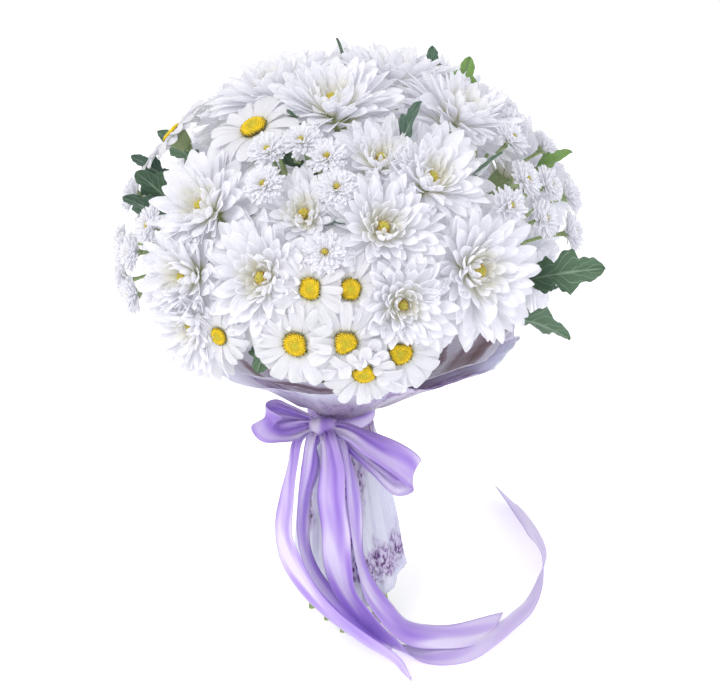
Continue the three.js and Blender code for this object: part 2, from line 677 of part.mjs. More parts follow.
const TAILS = [
  [
    [-30, -31, 194, 1, 0, 0], [-41, -44, 193, 0.4, -0.7, 0.6], [-45, -55, 178, 0.3, -0.9, 0.4],
    [-50, -65, 152, 0.5, -0.9, 0.2], [-53, -69, 126, 0.6, -0.8, 0.1], [-48, -73, 102, 0.7, -0.6, 0.3],
    [-36, -77, 78, 0.6, -0.6, 0.5], [-16, -82, 55, 0.5, -0.6, 0.6], [11, -87, 33, 0.5, -0.6, 0.6],
    [35, -83, 10, 0.4, -0.8, 0.5], [43, -89, 1.2, 0.4, -0.9, 0.1],
  ],
  [
    [-26, -30.5, 193, 1, 0, 0], [-31, -42, 190, 0.5, 0.6, -0.6], [-32, -52, 173, 0.7, 0.7, -0.3],
    [-37, -58, 147, 0.4, 0.9, -0.2], [-38, -61, 120, 0.3, 1, -0.1], [-34, -64, 94, 0.2, 1, -0.1],
    [-24, -67, 71, 0.2, 1, -0.1], [-5, -71, 47, 0, 1, 0], [18, -68, 20, -0.1, 1, 0],
    [31, -60, 8, -0.2, 1, 0],
  ],
  [
    [-21, -32, 193, 1, 0, 0], [-18, -45, 193, 0.6, -0.4, 0.6], [-15, -56, 176, 0.8, -0.5, 0.2],
    [-16, -61, 150, 0.9, -0.4, 0.1], [-13, -64, 122, 0.9, -0.4, 0.1], [-12, -67, 95, 0.9, -0.4, 0.2],
    [-7, -70, 70, 0.8, -0.6, 0.4], [7, -73, 48, 0.8, -0.5, 0.4], [26, -67, 18, 0.7, -0.5, 0.5],
    [48, -66, 4.5, 0.3, -1, 0.2], [68, -67, 1.8, 0, -1, 0], [90, -63, 1.4, 0.2, -1, 0],
    [110, -51, 3.2, 0.5, -0.8, 0.2], [127, -37, 5.4, 0.6, -0.7, 0.4], [142, -21, 7.2, 0.6, -0.6, 0.5],
    [154, -3, 10.8, 0.5, -0.3, 0.8], [165, 36, 13.2, 0.1, 0, 1], [167, 78, 10, -0.7, 0, 0.7],
    [159, 120, 7.8, -0.8, -0.2, 0.6], [147, 155, 9, -0.7, -0.2, 0.7],
  ],
  [
    [-16, -30, 193, 1, 0, 0], [-9, -39, 189, 0.3, 0.8, -0.5], [-3, -47, 170, 0.3, 0.9, -0.2],
    [1, -52, 144, 0.4, 0.9, -0.1], [4, -55, 116, 0.3, 0.9, -0.1], [7, -58, 88, 0.2, 1, -0.1],
    [14, -61, 63, 0.3, 1, 0], [28, -64, 41, 0.2, 1, 0.2], [46, -59, 18, 0, 1, 0.2],
    [66, -52, 8, 0, 1, 0.2], [87, -49, 6, -0.1, 1, 0.2], [121, -34, 4.5, -0.3, 1, 0.1],
  ],
];
const KNOT = { at: [-23, -31.15, 197], half: [11, 6, 7.5] };

// The knot: a rounded, slightly pinched lump.
function knotBody() {
  const [x, y, z] = KNOT.at;
  const [a, b, c] = KNOT.half;
  const rings = [[-1, 0.45], [-0.5, 0.95], [0.5, 1], [1, 0.5]].map(([along, part]) => (
    Array.from({ length: 8 }, (_, k) => {
      const turn = (2 * Math.PI * k) / 8;
      return vec(x + part * a * Math.cos(turn), y + part * b * Math.sin(turn), z + along * c);
    })
  ));
  return loft(rings);
}

// ---------------------------------------------------------------- the whole bunch

// Stems, from the top down: a neck that follows the flower's axis, and a calyx that carries it.
function flowerTop({ place, radius, form }) {
  const base = place.middle.clone().addScaledVector(place.out, form.foot[1] * radius - GAP);
  const neck = base.clone().addScaledVector(place.out, -STEM.neck);
  return { top: [neck, base], calyx: form.foot[0] * radius + 1 };
}

// One stem with a flower at its end, or a fork that thinner side stems grow from.
function flowerStem(flowers, index) {
  const cut = STEM_CUTS[index % STEM_CUTS.length];
  const common = { radius: STEM.radius, sides: STEM.sides, cut, twigs: [] };
  if (flowers.length === 1) {
    const { top, calyx } = flowerTop(flowers[0]);
    return { ...common, start: top[0], top, calyx };
  }
  const fork = forkOf(flowers, TWIG.drawnIn);
  return { ...common, start: fork, top: [fork], twigs: flowers.map(flowerTop) };
}

const middleOf = (flowers) => (
  flowers.reduce((sum, flower) => sum.add(flower.middle), vec(0, 0, 0)).divideScalar(flowers.length)
);

// Where the stem of several flowers divides.
const forkOf = (flowers, drawnIn) => middleOf(flowers).lerp(vec(TIE.x, 0, TIE.z), drawnIn);

// A spray's stem ends level, just under the spray that stands on it.
function sprayStem({ fork }, index) {
  const top = fork.clone().add(vec(0, 0, -GAP));
  const { radius, sides } = STEM;
  return { start: top, top: [top], radius, sides, cut: STEM_CUTS[index % 2], levelTop: true };
}

function flowerSite([azimuth, lift, radius, deeper], form, seed) {
  const place = placeOn(azimuth, lift, form.sink * radius + deeper);
  return { place, middle: place.middle, radius, form, seed };
}

const mums = MUMS.map((row, k) => flowerSite(row, MUM, 101 + 17 * k));
const daisies = DAISIES.map((row, k) => flowerSite(row, DAISY, 907 + 31 * k));
const sprays = Object.entries(SPRAYS).map(([name, rows]) => {
  const heads = rows.map(([azimuth, lift]) => {
    const place = placeOn(azimuth, lift, BUTTON.sink);
    return { place, middle: place.middle, radius: BUTTON.radius };
  });
  return { name, heads, fork: forkOf(heads, SPRAY.drawnIn) };
});
const sites = [...mums, ...daisies, ...sprays.flatMap((spray) => spray.heads)];

const stemFlowers = [...mums.map((mum) => [mum]), ...DAISY_STEMS.map((row) => row.map((k) => daisies[k]))];
const stemList = [...stemFlowers.map(flowerStem), ...sprays.map(sprayStem)];
gatherStems(stemList);
const bundle = bundleRadius(stemList);
const spread = FLOOR_RADIUS / bundle;
const coreRadius = (bundle + BUNDLE.room) / Math.cos(Math.PI / BUNDLE.sides);

// A spray's axis, and the points of the branches that leave it one above another, each from
// under its head down.
function sprayFrame({ heads, fork }) {
  const middle = middleOf(heads);
  const reach = SPRAY.reach * middle.distanceTo(fork);
  const along = middle.clone().sub(fork).normalize();
  const branches = heads.map(({ place, middle: head }, k) => [
    head.clone().addScaledVector(place.out, -SPRAY.drop),
    fork.clone().addScaledVector(along, (reach * (k + 0.6)) / heads.length),
  ]);
  return { axis: [fork, fork.clone().addScaledVector(along, reach)], branches };
}

// The room that a spray's axis and branches need.
function sprayRoomOf(spray) {
  const { axis, branches } = sprayFrame(spray);
  const [base, top] = axis;
  return [
    bar([base.clone().add(vec(0, 0, -GAP)), top], [SPRAY.axis + GAP, SPRAY.axis + GAP], SPRAY.axisSides),
    ...branches.map((points, k) => {
      const { middle, place } = spray.heads[k];
      return loft(branchSections([middle, ...points], place, SPRAY.branch + 2 * GAP));
    }),
  ];
}

const bundleCore = loft([TIE.z - TIE.halfHeight, TIE.z + TIE.halfHeight].map((z) => (
  Array.from({ length: BUNDLE.sides }, (_, k) => {
    const turn = (2 * Math.PI * k) / BUNDLE.sides;
    return vec(TIE.x + coreRadius * Math.cos(turn), coreRadius * Math.sin(turn), z);
  })
)));

// A leaf's stalk runs from its base to the nearest spot on a flower's stem.
function stalkRoot({ base, along }) {
  const under = base.clone().addScaledVector(along, -STALK.drop);
  const spots = stemList.map((stem) => {
    const line = new THREE.Line3(inTie(stem, TIE.z + TIE.halfHeight), stem.start);
    return line.closestPointToPoint(under, true, vec(0, 0, 0));
  });
  return spots.reduce((best, spot) => (spot.distanceTo(base) < best.distanceTo(base) ? spot : best));
}

const leaves = LEAVES.map(leafFrame).map((frame) => ({ frame, root: stalkRoot(frame) }));
const greens = (extra) => [
  ...stemList.map((stem) => stemBar(stem, spread, extra)),
  ...leaves.map(({ frame, root }) => leafBody(frame, root, LEAF_ROOM * extra)),
];
const sprayRoom = union(sprays.flatMap(sprayRoomOf));
const room = union([sprayRoom, ...greens(GAP), ...greens(0)]);

const stems = largestPiece(union([bundleCore, ...greens(0)]).subtract(sprayRoom));

function spraySolid(spray) {
  const { axis, branches } = sprayFrame(spray);
  const heads = spray.heads.map((site, k) => buttonHead(site, cellOf(site, sites), branches[k]));
  return largestPiece(union([bar(axis, [SPRAY.axis, SPRAY.axis], SPRAY.axisSides), ...heads]));
}

const FINISH = {
  petal: { color: 0xf3f2f7, roughness: 0.75, metalness: 0 },
  disc: { color: 0xe0b81e, roughness: 0.85, metalness: 0 },
  green: { color: 0x46604a, roughness: 0.7, metalness: 0 },
  film: { color: 0xdcd9e8, roughness: 0.3, metalness: 0 },
  lining: { color: 0x8d7c8c, roughness: 0.4, metalness: 0 },
  satin: { color: 0xb594e4, roughness: 0.35, metalness: 0 },
  twine: { color: 0xb7a888, roughness: 0.9, metalness: 0 },
};

const bunch = new THREE.Group();

function addNode(name, solid, finish) {
  const data = solid.getMesh();
  const geometry = new THREE.BufferGeometry();
  geometry.setAttribute('position', new THREE.BufferAttribute(new Float32Array(data.vertProperties), 3));
  geometry.setIndex(new THREE.BufferAttribute(new Uint32Array(data.triVerts), 1));
  geometry.computeVertexNormals();
  const mesh = new THREE.Mesh(geometry, new THREE.MeshStandardMaterial(finish));
  mesh.name = name;
  bunch.add(mesh);
}

const two = (k) => String(k + 1).padStart(2, '0');

function settled(solid, cell) {
  return largestPiece(trimToCell(solid, cell).subtract(room));
}

mums.forEach((site, k) => {
  const cell = cellOf(site, sites);
  addNode(`mum_${two(k)}`, settled(flowerHead(site, MUM, cell), cell), FINISH.petal);
});
daisies.forEach((site, k) => {
  const cell = cellOf(site, sites);
  addNode(`daisy_${two(k)}`, settled(flowerHead(site, DAISY, cell), cell), FINISH.petal);
  addNode(`daisy_${two(k)}_disc`, settled(daisyDisc(site, cell), cell), FINISH.disc);
});
sprays.forEach((spray) => addNode(`spray_${spray.name}`, spraySolid(spray), FINISH.petal));
addNode('stems_and_leaves', stems, FINISH.green);

// What lies round the tie, from the inside out.
const twineRadius = coreRadius + GAP;
const liningRadius = twineRadius + BINDING.thickness + 2 * GAP + WRAP.thickness + WRAP.snugPleat;
const filmRadius = liningRadius + 2 * WRAP.snugPleat + 2 * GAP + WRAP.thickness;
const bandRadius = filmRadius + WRAP.snugPleat + 2 * GAP;
const pleats = (turn, row, k) => (k % 2 ? 0.6 : -0.6) + 0.4 * Math.sin(3 * turn + 0.8 * row);
addNode('wrap_outer', wrapSheet(WRAP.outer, filmRadius, pleats), FINISH.film);
addNode('wrap_inner', wrapSheet(WRAP.inner, liningRadius, pleats), FINISH.lining);
addNode('binding_twine', hoop(twineRadius, BINDING.thickness, BINDING.width, BINDING.sides), FINISH.twine);
const band = hoop(bandRadius, RIBBON.bandThickness, RIBBON.bandHeight, RIBBON.bandSides);
addNode('ribbon_band', band, FINISH.satin);
const bow = union([
  knotBody(),
  ...LOOPS.map((route) => ribbonStrip(route, true)),
  ...TAILS.map((route) => ribbonStrip(route, false)),
]);
addNode('ribbon_bow', largestPiece(bow.trimByPlane([0, 0, 1], 0)), FINISH.satin);

// The origin is under the middle of the whole.
const middle = new THREE.Box3().setFromObject(bunch).getCenter(vec(0, 0, 0));
bunch.position.set(-middle.x, -middle.y, 0);

export default bunch;
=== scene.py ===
"""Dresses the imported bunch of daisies: petals, leaves, stems, wraps, ribbon and a plain stage.

Shapes are worked out in millimetres in the layout of the part: +Z up, the front along -Y, the
stems' tie at TIE.x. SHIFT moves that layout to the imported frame, whose origin is under the
middle of the whole bunch, and every piece is built there in metres.
"""

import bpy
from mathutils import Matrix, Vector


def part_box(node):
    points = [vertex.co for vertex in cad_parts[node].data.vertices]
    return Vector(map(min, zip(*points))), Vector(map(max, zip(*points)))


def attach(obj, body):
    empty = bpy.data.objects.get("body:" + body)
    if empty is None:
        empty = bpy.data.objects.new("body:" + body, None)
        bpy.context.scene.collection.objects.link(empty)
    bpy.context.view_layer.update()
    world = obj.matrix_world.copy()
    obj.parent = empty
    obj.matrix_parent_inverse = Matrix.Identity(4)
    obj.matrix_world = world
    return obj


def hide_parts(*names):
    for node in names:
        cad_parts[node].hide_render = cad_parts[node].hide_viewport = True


bl_info = {
    "name": "Bunch of daisies",
    "version": (1, 0, 0),
    "blender": (4, 5, 0),
    "location": "View3D > Sidebar > Bouquet",
    "description": "Builds the petals, leaves, wraps and ribbon of a hand-tied bunch of daisies",
    "category": "Object",
}

import math
from functools import partial

import bpy
import numpy as np
from bpy.props import FloatProperty, FloatVectorProperty, IntProperty, PointerProperty

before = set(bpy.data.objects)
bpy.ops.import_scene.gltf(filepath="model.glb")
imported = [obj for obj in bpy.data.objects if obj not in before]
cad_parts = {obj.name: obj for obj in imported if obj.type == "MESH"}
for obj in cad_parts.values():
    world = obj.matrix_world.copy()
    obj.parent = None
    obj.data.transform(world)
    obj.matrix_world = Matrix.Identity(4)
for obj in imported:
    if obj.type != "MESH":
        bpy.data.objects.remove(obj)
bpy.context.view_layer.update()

# ---------------------------------------------------------------- the part's driving dimensions

# Lengths are in millimetres and angles in degrees. All are the part's own, unless a comment
# says that the scene's differ.
MM = 1000
# the head of flowers: widest at centre_z, and reaching further up from there than down
HEAD = {"radius": 172, "centre_z": 330, "up": 146, "down": 95}
# The tie's middle and half of its height. The bundle runs straight up within upright of the
# middle, and is back over the centre sway_above further up.
TIE = {"x": -9, "z": 194, "half_height": 8.4, "upright": 10, "sway_above": 70}
# the ring that the stems stand in on the floor
FLOOR_RADIUS = 44
# how far apart neighbouring pieces are kept
GAP = 0.35
# neck: the straight top of a stem; apex_drop: how far under the tie the stems would all meet;
# twist: how far round they go from the tie to the floor
STEM = {"radius": 2.4, "neck": 12, "apex_drop": 30, "twist": 34}
# how often the stems push each other apart in the tie, and how often and how much they are drawn in
GATHER = {"rounds": 700, "pulls": 600, "pull": 0.994}
# how wide the bundle of stems may be at this height
SHOULDER = {"radius": 38, "z": 240}
# drawn_in: how far down towards the tie the stem forks, as a part of the way
TWIG = {"radius": 1.6, "drawn_in": 0.42}
# how high above the floor the stems are cut, one after another
STEM_CUTS = [0, 0, 5, 0, 11, 0, 0, 3]
# how much a petal that is short of room rises, and the least part of its radius that a flower
# keeps in any direction, here a little more than in the part
PRESSED_RISE = 0.6
LEAST_ROOM = 0.5
# how far petals reach in between their neighbours' petals
INTERLEAVE = 8
# flowers whose edges are further apart than this have no wall between them
WALL_REACH = 10
# a wall stands in a petal's way when the cosine between their directions is more than this
IN_THE_WAY = 0.08

# As parts of a flower's radius: how deep its middle sits, the foot of its calyx as distance and
# height, the height of a daisy's petals under its disc, and the disc, which is narrower than
# the part's because the florets stand out from it. A button's radius and sink are lengths.
MUM_SINK, MUM_FOOT = 0.38, (0.12, -0.56)
DAISY_SINK, DAISY_FOOT, DAISY_TOP = 0.18, (0.14, -0.4), -0.02
DISC = {"radius": 0.26, "height": 0.15}
BUTTON = {"radius": 14.5, "sink": 4, "foot": (0.1, -0.34)}
# axis and branch are radii; reach is the axis's part of the way from the fork to the flowers
SPRAY = {"axis": 2, "reach": 0.55, "branch": 1.3, "drop": 24, "drawn_in": 0.38}
RIBBON_WIDTH = 25
# at the tie, from the bundle of stems outwards
CORE_RADIUS = 19.7
LINING_RADIUS = 22.4
FILM_RADIUS = 24.5
BAND_RADIUS = 26.1

# ---------------------------------------------------------------- where everything is

# azimuth (0 at the front, growing towards +X), lift, radius, how much deeper it sits
MUMS = [
    [9, 34, 48, 0], [-22, 19, 46, 0], [33, 18.5, 50, 0], [12, 13, 43, 0], [28, 46, 46, 2],
    [13, 55, 40, 8], [-47, 33, 47, 0], [-45, 13, 46, 0], [-18, 75, 52, 0], [-94, 70, 50, 0],
    [77, 60, 50, 0], [134, 75, 52, 0], [-14, 38, 36, 8], [-41, 0, 40, 0],
    [116, 18, 54, 0], [152, 8, 54, 0], [-172, 14, 54, 0], [-136, 10, 54, 0],
    [134, 46, 52, 0], [-176, 50, 52, 0], [-138, 44, 50, 0], [86, 0, 45, 24],
]
DAISIES = [
    [-45, 57, 33, 0], [-98, 38, 33, 0], [-114, 56, 29, 4], [-9, 18, 27, 0], [-12, 3, 30, 0],
    [-1, 4, 30, 0], [3, -8, 29, 0], [11, 0, 31, 3], [0, 18, 26, 3], [-31, 1, 22, 2],
    [112, -9, 31, 6], [172, -10, 32, 0], [-110, 4, 32, 0],
]
DAISY_STEMS = [[0, 1, 2], [3, 4, 9], [5, 6, 7, 8], [10], [11], [12]]
SPRAYS = {
    "centre": [[-26, 42], [-8, 51], [-4, 43], [-6, 27], [-19, 55], [-30, 51]],
    "right": [[46, 32], [58, 36], [57, 25], [70, 16], [68, 31], [82, 22], [93, 34]],
    "upper_right": [[68, 46], [84, 47], [98, 50]],
    "left": [[-66, 12], [-76, -3], [-74, 8], [-88, 20], [-60, 22], [-84, 6], [-64, 0]],
    "back": [[-157, -4], [-154, 30], [166, 28], [-162, 34]],
}
# azimuth, lift, length, width, how far the tip stands past the flowers, lean from straight
# out, the way it leans (0 up, 90 towards growing azimuth), spin of the blade
LEAVES = [
    [-166, 76, 46, 20, 9, 8, 0, 80], [136, 62, 44, 20, 12, 10, 0, 70], [112, 60, 46, 24, 14, 0, 0, 90],
    [29, 60, 58, 22, 16, 6, 0, 82], [-4, 34, 46, 24, 1, 30, 180, 6], [50, 44, 56, 20, 8, 36, 60, 76],
    [84, 32, 52, 28, 13, 10, 0, 10], [60, 10, 66, 34, 28, 10, 0, 60], [50, -4, 58, 34, 20, 20, 90, 30],
    [-72, 24, 50, 24, 10, 14, 0, 60], [-72, 31, 50, 24, 10, 14, 0, 84], [-21, -10, 40, 24, 0, 36, 180, 0],
    [-29, 62, 46, 20, 3, 20, 90, 80], [-92, 28, 46, 18, 10, 6, 0, 84],
    [-114, 27, 54, 26, 12, 8, 0, 88], [134, -10, 58, 32, 14, 16, 180, 50],
    [-153, -18, 56, 30, 12, 16, 180, 40],
]
# the young leaves, whose green is still bright
YOUNG_LEAVES = (2, 6)
# half of a leaf's width along it, with its lobes; finer here than in the part
LEAF_OUTLINE = [
    [0, 0.09], [0.14, 0.2], [0.24, 0.62], [0.34, 0.82], [0.41, 0.7], [0.46, 0.42], [0.54, 0.84],
    [0.63, 1], [0.7, 0.86], [0.75, 0.5], [0.82, 0.56], [0.91, 0.46], [0.97, 0.26], [1, 0.02],
]
LEAF = {"arch": 0.1, "fold": 0.16}
# how far under the foot of a leaf its stalk aims for a stem
STALK_DROP = 20

# Radius, height and pleat depth, from the rim down; no radius is snug round the tie. Some are a
# few millimetres off the part's, and the film's hem is higher here.
FILM_RINGS = [
    [131, 263, 4], [96, 248, 3], [50, 220, 2], [None, 202, 0.5],
    [None, 185, 0.5], [32, 147, 1.6], [40, 90, 3], [45, 34, 3],
]
LINING_RINGS = [[124, 268, 3], [90, 253, 2], [47, 225, 1], [None, 202, 0.4], [None, 189, 0.4]]
# the collar stands up at the front: how much its two upper rings are drawn in, and raised
STAND_UP = [[0.06, 16], [0.03, 8]]

# x, y, z, then the way its width points
LOOPS = [
    [
        [-30, -33, 199, 0, 0.5, 0.9], [-42, -44, 202, 0, 0.9, 0.3], [-54, -52, 205, 0, 1, 0.1],
        [-62, -52, 208, 0.3, 0.7, 0.5], [-65, -46, 213, 0.5, 0.5, 0.8], [-59, -40, 214, 0.3, 0.4, 0.9],
        [-50, -35, 210, 0, 0.4, 0.9], [-31, -31, 202, 0, 0.4, 0.9],
    ],
    [
        [-16, -33, 199, 0.2, 0.6, 0.8], [-1, -43, 199, 0.2, 0.9, 0.3], [14, -50, 193, 0.4, 0.8, 0.4],
        [31, -53, 184, 0.4, 0.8, 0.5], [44, -52, 173, 0.4, 0.7, 0.6], [49, -48, 163, 0.3, 0.7, 0.6],
        [37, -44, 154, 0.3, 0.8, 0.5], [18, -40, 166, 0.2, 0.9, 0.3], [-14, -31, 194, 0, 0.5, 0.9],
    ],
]
TAILS = [
    [
        [-30, -31, 194, 1, 0, 0], [-41, -44, 193, 0.4, -0.7, 0.6], [-45, -55, 178, 0.3, -0.9, 0.4],
        [-50, -65, 152, 0.5, -0.9, 0.2], [-53, -69, 126, 0.6, -0.8, 0.1], [-48, -73, 102, 0.7, -0.6, 0.3],
        [-36, -77, 78, 0.6, -0.6, 0.5], [-16, -82, 55, 0.5, -0.6, 0.6], [11, -87, 33, 0.5, -0.6, 0.6],
        [35, -83, 10, 0.4, -0.8, 0.5], [43, -89, 1.2, 0.4, -0.9, 0.1],
    ],
    [
        [-26, -30.5, 193, 1, 0, 0], [-31, -42, 190, 0.5, 0.6, -0.6], [-32, -52, 173, 0.7, 0.7, -0.3],
        [-37, -58, 147, 0.4, 0.9, -0.2], [-38, -61, 120, 0.3, 1, -0.1], [-34, -64, 94, 0.2, 1, -0.1],
        [-24, -67, 71, 0.2, 1, -0.1], [-5, -71, 47, 0, 1, 0], [18, -68, 20, -0.1, 1, 0],
        [31, -60, 8, -0.2, 1, 0],
    ],
    [
        [-21, -32, 193, 1, 0, 0], [-18, -45, 193, 0.6, -0.4, 0.6], [-15, -56, 176, 0.8, -0.5, 0.2],
        [-16, -61, 150, 0.9, -0.4, 0.1], [-13, -64, 122, 0.9, -0.4, 0.1], [-12, -67, 95, 0.9, -0.4, 0.2],
        [-7, -70, 70, 0.8, -0.6, 0.4], [7, -73, 48, 0.8, -0.5, 0.4], [26, -67, 18, 0.7, -0.5, 0.5],
        [48, -66, 4.5, 0.3, -1, 0.2], [68, -67, 1.8, 0, -1, 0], [90, -63, 1.4, 0.2, -1, 0],
        [110, -51, 3.2, 0.5, -0.8, 0.2], [127, -37, 5.4, 0.6, -0.7, 0.4], [142, -21, 7.2, 0.6, -0.6, 0.5],
        [154, -3, 10.8, 0.5, -0.3, 0.8], [165, 36, 13.2, 0.1, 0, 1], [167, 78, 10, -0.7, 0, 0.7],
        [159, 120, 7.8, -0.8, -0.2, 0.6], [147, 155, 9, -0.7, -0.2, 0.7],
    ],
    [
        [-16, -30, 193, 1, 0, 0], [-9, -39, 189, 0.3, 0.8, -0.5], [-3, -47, 170, 0.3, 0.9, -0.2],
        [1, -52, 144, 0.4, 0.9, -0.1], [4, -55, 116, 0.3, 0.9, -0.1], [7, -58, 88, 0.2, 1, -0.1],
        [14, -61, 63, 0.3, 1, 0], [28, -64, 41, 0.2, 1, 0.2], [46, -59, 18, 0, 1, 0.2],
        [66, -52, 8, 0, 1, 0.2], [87, -49, 6, -0.1, 1, 0.2], [121, -34, 4.5, -0.3, 1, 0.1],
    ],
]
KNOT = {"at": (-23, -31.15, 197), "half": (11, 6, 7.5)}

CAMERA = {"at": (6, -907, 721), "down": 27.4, "lens": 65.85, "sensor": 36}
# name, place and aim in metres, width, power and colour
LIGHTS = [
    ["key", (-0.9, -1.1, 1.7), (0, 0, 0.3), 1.0, 20, "#fffdfa"],
    ["fill", (1.3, -0.9, 0.9), (0, 0, 0.25), 1.2, 6, "#eef0ff"],
]
GOLDEN_ANGLE = math.pi * (3 - math.sqrt(5))


# the seed of the first piece of a kind, and the step to the next one's
MUM_SEEDS, DAISY_SEEDS, SPRAY_SEEDS = (101, 17), (907, 31), (1000, 40)
STEM_SEED, LEAF_SEED = 7, 23


def shift_to_frame():
    """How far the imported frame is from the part's layout: the twine's middle is at TIE.x, 0."""
    low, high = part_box("binding_twine")
    centre = (low + high) / 2 * MM
    return np.array([centre.x - TIE["x"], centre.y, 0.0])


SHIFT = shift_to_frame()

# ---------------------------------------------------------------- colours and sizes to change


def linear(code):
    """The linear colour of an sRGB hex value, with full alpha."""
    parts = [int(code[k : k + 2], 16) / 255 for k in (1, 3, 5)]
    return tuple(p / 12.92 if p <= 0.04045 else ((p + 0.055) / 1.055) ** 2.4 for p in parts) + (1.0,)


def colour_property(name, description, code):
    return FloatVectorProperty(
        name=name, description=description, default=linear(code), size=4, min=0, max=1, subtype="COLOR"
    )


class BouquetSizes(bpy.types.PropertyGroup):
    """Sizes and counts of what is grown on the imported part."""

    mum_petals: IntProperty(
        name="Chrysanthemum petals", description="Petals of one large bloom", default=172, min=30, max=300
    )
    daisy_petals: IntProperty(
        name="Daisy petals", description="Ray petals of one daisy", default=24, min=12, max=40
    )
    button_petals: IntProperty(
        name="Button petals", description="Quills of one button flower", default=128, min=20, max=160
    )
    disc_florets: IntProperty(
        name="Disc florets", description="Florets on a daisy's disc", default=150, min=40, max=300
    )
    petal_thickness: FloatProperty(
        name="Petal thickness", description="Thickness of a petal at its middle", default=0.0006,
        min=0.0002, max=0.002, unit="LENGTH",
    )
    ribbon_thickness: FloatProperty(
        name="Ribbon thickness", description="Thickness of the satin ribbon", default=0.0004,
        min=0.0002, max=0.001, unit="LENGTH",
    )
    film_thickness: FloatProperty(
        name="Film thickness", description="Thickness of the wrap's film", default=0.0003,
        min=0.0001, max=0.001, unit="LENGTH",
    )


class BouquetColours(bpy.types.PropertyGroup):
    """Colours of the finishes."""

    petal: colour_property("Petal", "White of the petals", "#f5f5f8")
    heart: colour_property("Petal base", "Cream green at the foot of a petal", "#e6e2a4")
    disc: colour_property("Disc", "Yellow of a daisy's disc", "#efd31c")
    leaf: colour_property("Leaf", "Grey green of a grown leaf", "#47625b")
    young_leaf: colour_property("Young leaf", "Bright green of a young leaf", "#7ba050")
    stem: colour_property("Stem", "Green of the stems", "#bccc98")
    film: colour_property("Film", "Pale lilac of the outer film", "#eceef8")
    # the lining's mauve brown streaks are partly its own tint and partly painted shade in its folds
    lining: colour_property("Lining", "Mauve brown of the inner film", "#a4878c")
    satin: colour_property("Satin", "Lilac of the ribbon", "#c3a5ee")
    twine: colour_property("Twine", "Natural fibre of the binding", "#b7a888")
    floor: colour_property("Floor", "Pale studio floor", "#f6f6f8")


# ---------------------------------------------------------------- numbers and vectors


def unit(v):
    """v, or each row of v, at length 1."""
    return v / np.maximum(np.linalg.norm(v, axis=-1, keepdims=True), 1e-9)


def blend_at(u, keys):
    """Rows of keys are a place from 0 to 1 and the values there. Returns the values at u."""
    table = np.array(keys, float)
    return np.stack([np.interp(u, table[:, 0], table[:, k]) for k in range(1, table.shape[1])], axis=-1)


def smooth_curve(points, per_span):
    """Centripetal Catmull-Rom curve through the points, as the part's own ribbons run."""
    p = np.array(points, float)
    p = np.vstack([2 * p[0] - p[1], p, 2 * p[-1] - p[-2]])
    found = []
    t = np.linspace(0, 1, per_span, endpoint=False)[:, None]
    for a, b, c, d in zip(p, p[1:], p[2:], p[3:]):
        before, span, after = (max(np.linalg.norm(q - r) ** 0.5, 1e-4) for q, r in ((b, a), (c, b), (d, c)))
        leave = ((b - a) / before - (c - a) / (before + span) + (c - b) / span) * span
        arrive = ((c - b) / span - (d - b) / (span + after) + (d - c) / after) * span
        cubic = 2 * (b - c) + leave + arrive
        square = 3 * (c - b) - 2 * leave - arrive
        found.append(b + leave * t + square * t**2 + cubic * t**3)
    return np.vstack([*found, p[-2:-1]])


def sway(z):
    """How far the middle of the bundle is to the side at a height."""
    z = np.asarray(z, float)
    span = np.where(z > TIE["z"], TIE["sway_above"], TIE["z"] - TIE["upright"])
    away = np.maximum(0, np.abs(z - TIE["z"]) - TIE["upright"])
    return TIE["x"] * np.maximum(0, 1 - away / span)


# ---------------------------------------------------------------- pieces from points and faces


class Body:
    """Collects the corners and faces of one piece, in millimetres in the part's layout.

    Each corner also keeps three numbers that its material reads: along and across the petal,
    leaf or ribbon that it belongs to, and layer, which tells the petals apart. A mark is given
    once for all corners, once for each, or once for each run of as many.
    """

    def __init__(self):
        self.points, self.marks, self.faces, self.slots, self.count = [], [], [], [], 0

    def add(self, points, faces, along=0.0, across=0.0, layer=0.0, slot=0):
        points = np.asarray(points, float).reshape(-1, 3)
        marks = np.zeros((len(points), 3))
        for k, mark in enumerate((along, across, layer)):
            mark = np.asarray(mark, float).ravel()
            marks[:, k] = np.repeat(mark, len(points) // len(mark))
        self.points.append(points)
        self.marks.append(marks)
        self.faces += [tuple(int(k) + self.count for k in face) for face in faces]
        self.slots += [slot] * len(faces)
        self.count += len(points)

    def make(self, name, materials):
        """The Blender object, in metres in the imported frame; nothing sinks into the floor."""
        mesh = bpy.data.meshes.new(name)
        points = (np.vstack(self.points) + SHIFT) / MM
        points[:, 2] = np.maximum(points[:, 2], 0)
        mesh.from_pydata(points.tolist(), [], self.faces)
        for k, key in enumerate(("along", "across", "layer")):
            attribute = mesh.attributes.new(key, "FLOAT", "POINT")
            attribute.data.foreach_set("value", np.vstack(self.marks)[:, k].astype(np.float32))
        for material in materials:
            mesh.materials.append(material)
        mesh.polygons.foreach_set("material_index", self.slots)
        mesh.polygons.foreach_set("use_smooth", [True] * len(self.faces))
        mesh.update()
        piece = bpy.data.objects.new(name, mesh)
        bpy.context.scene.collection.objects.link(piece)
        return piece


def strip_faces(rows, cols):
    """Faces of a closed slab: a top grid, a bottom grid below it, and the rim between them."""
    faces = []
    low = rows * cols
    for r in range(rows - 1):
        for c in range(cols - 1):
            a, b = r * cols + c, (r + 1) * cols + c
            faces += [(a, b, b + 1, a + 1), (low + a, low + a + 1, low + b + 1, low + b)]
    rim = [*range(cols), *range(2 * cols - 1, low, cols)]
    rim += [*range(low - 2, low - cols - 1, -1), *range((rows - 2) * cols, 0, -cols)]
    faces += [(a, b, low + b, low + a) for a, b in zip(rim, rim[1:] + rim[:1])]
    return faces


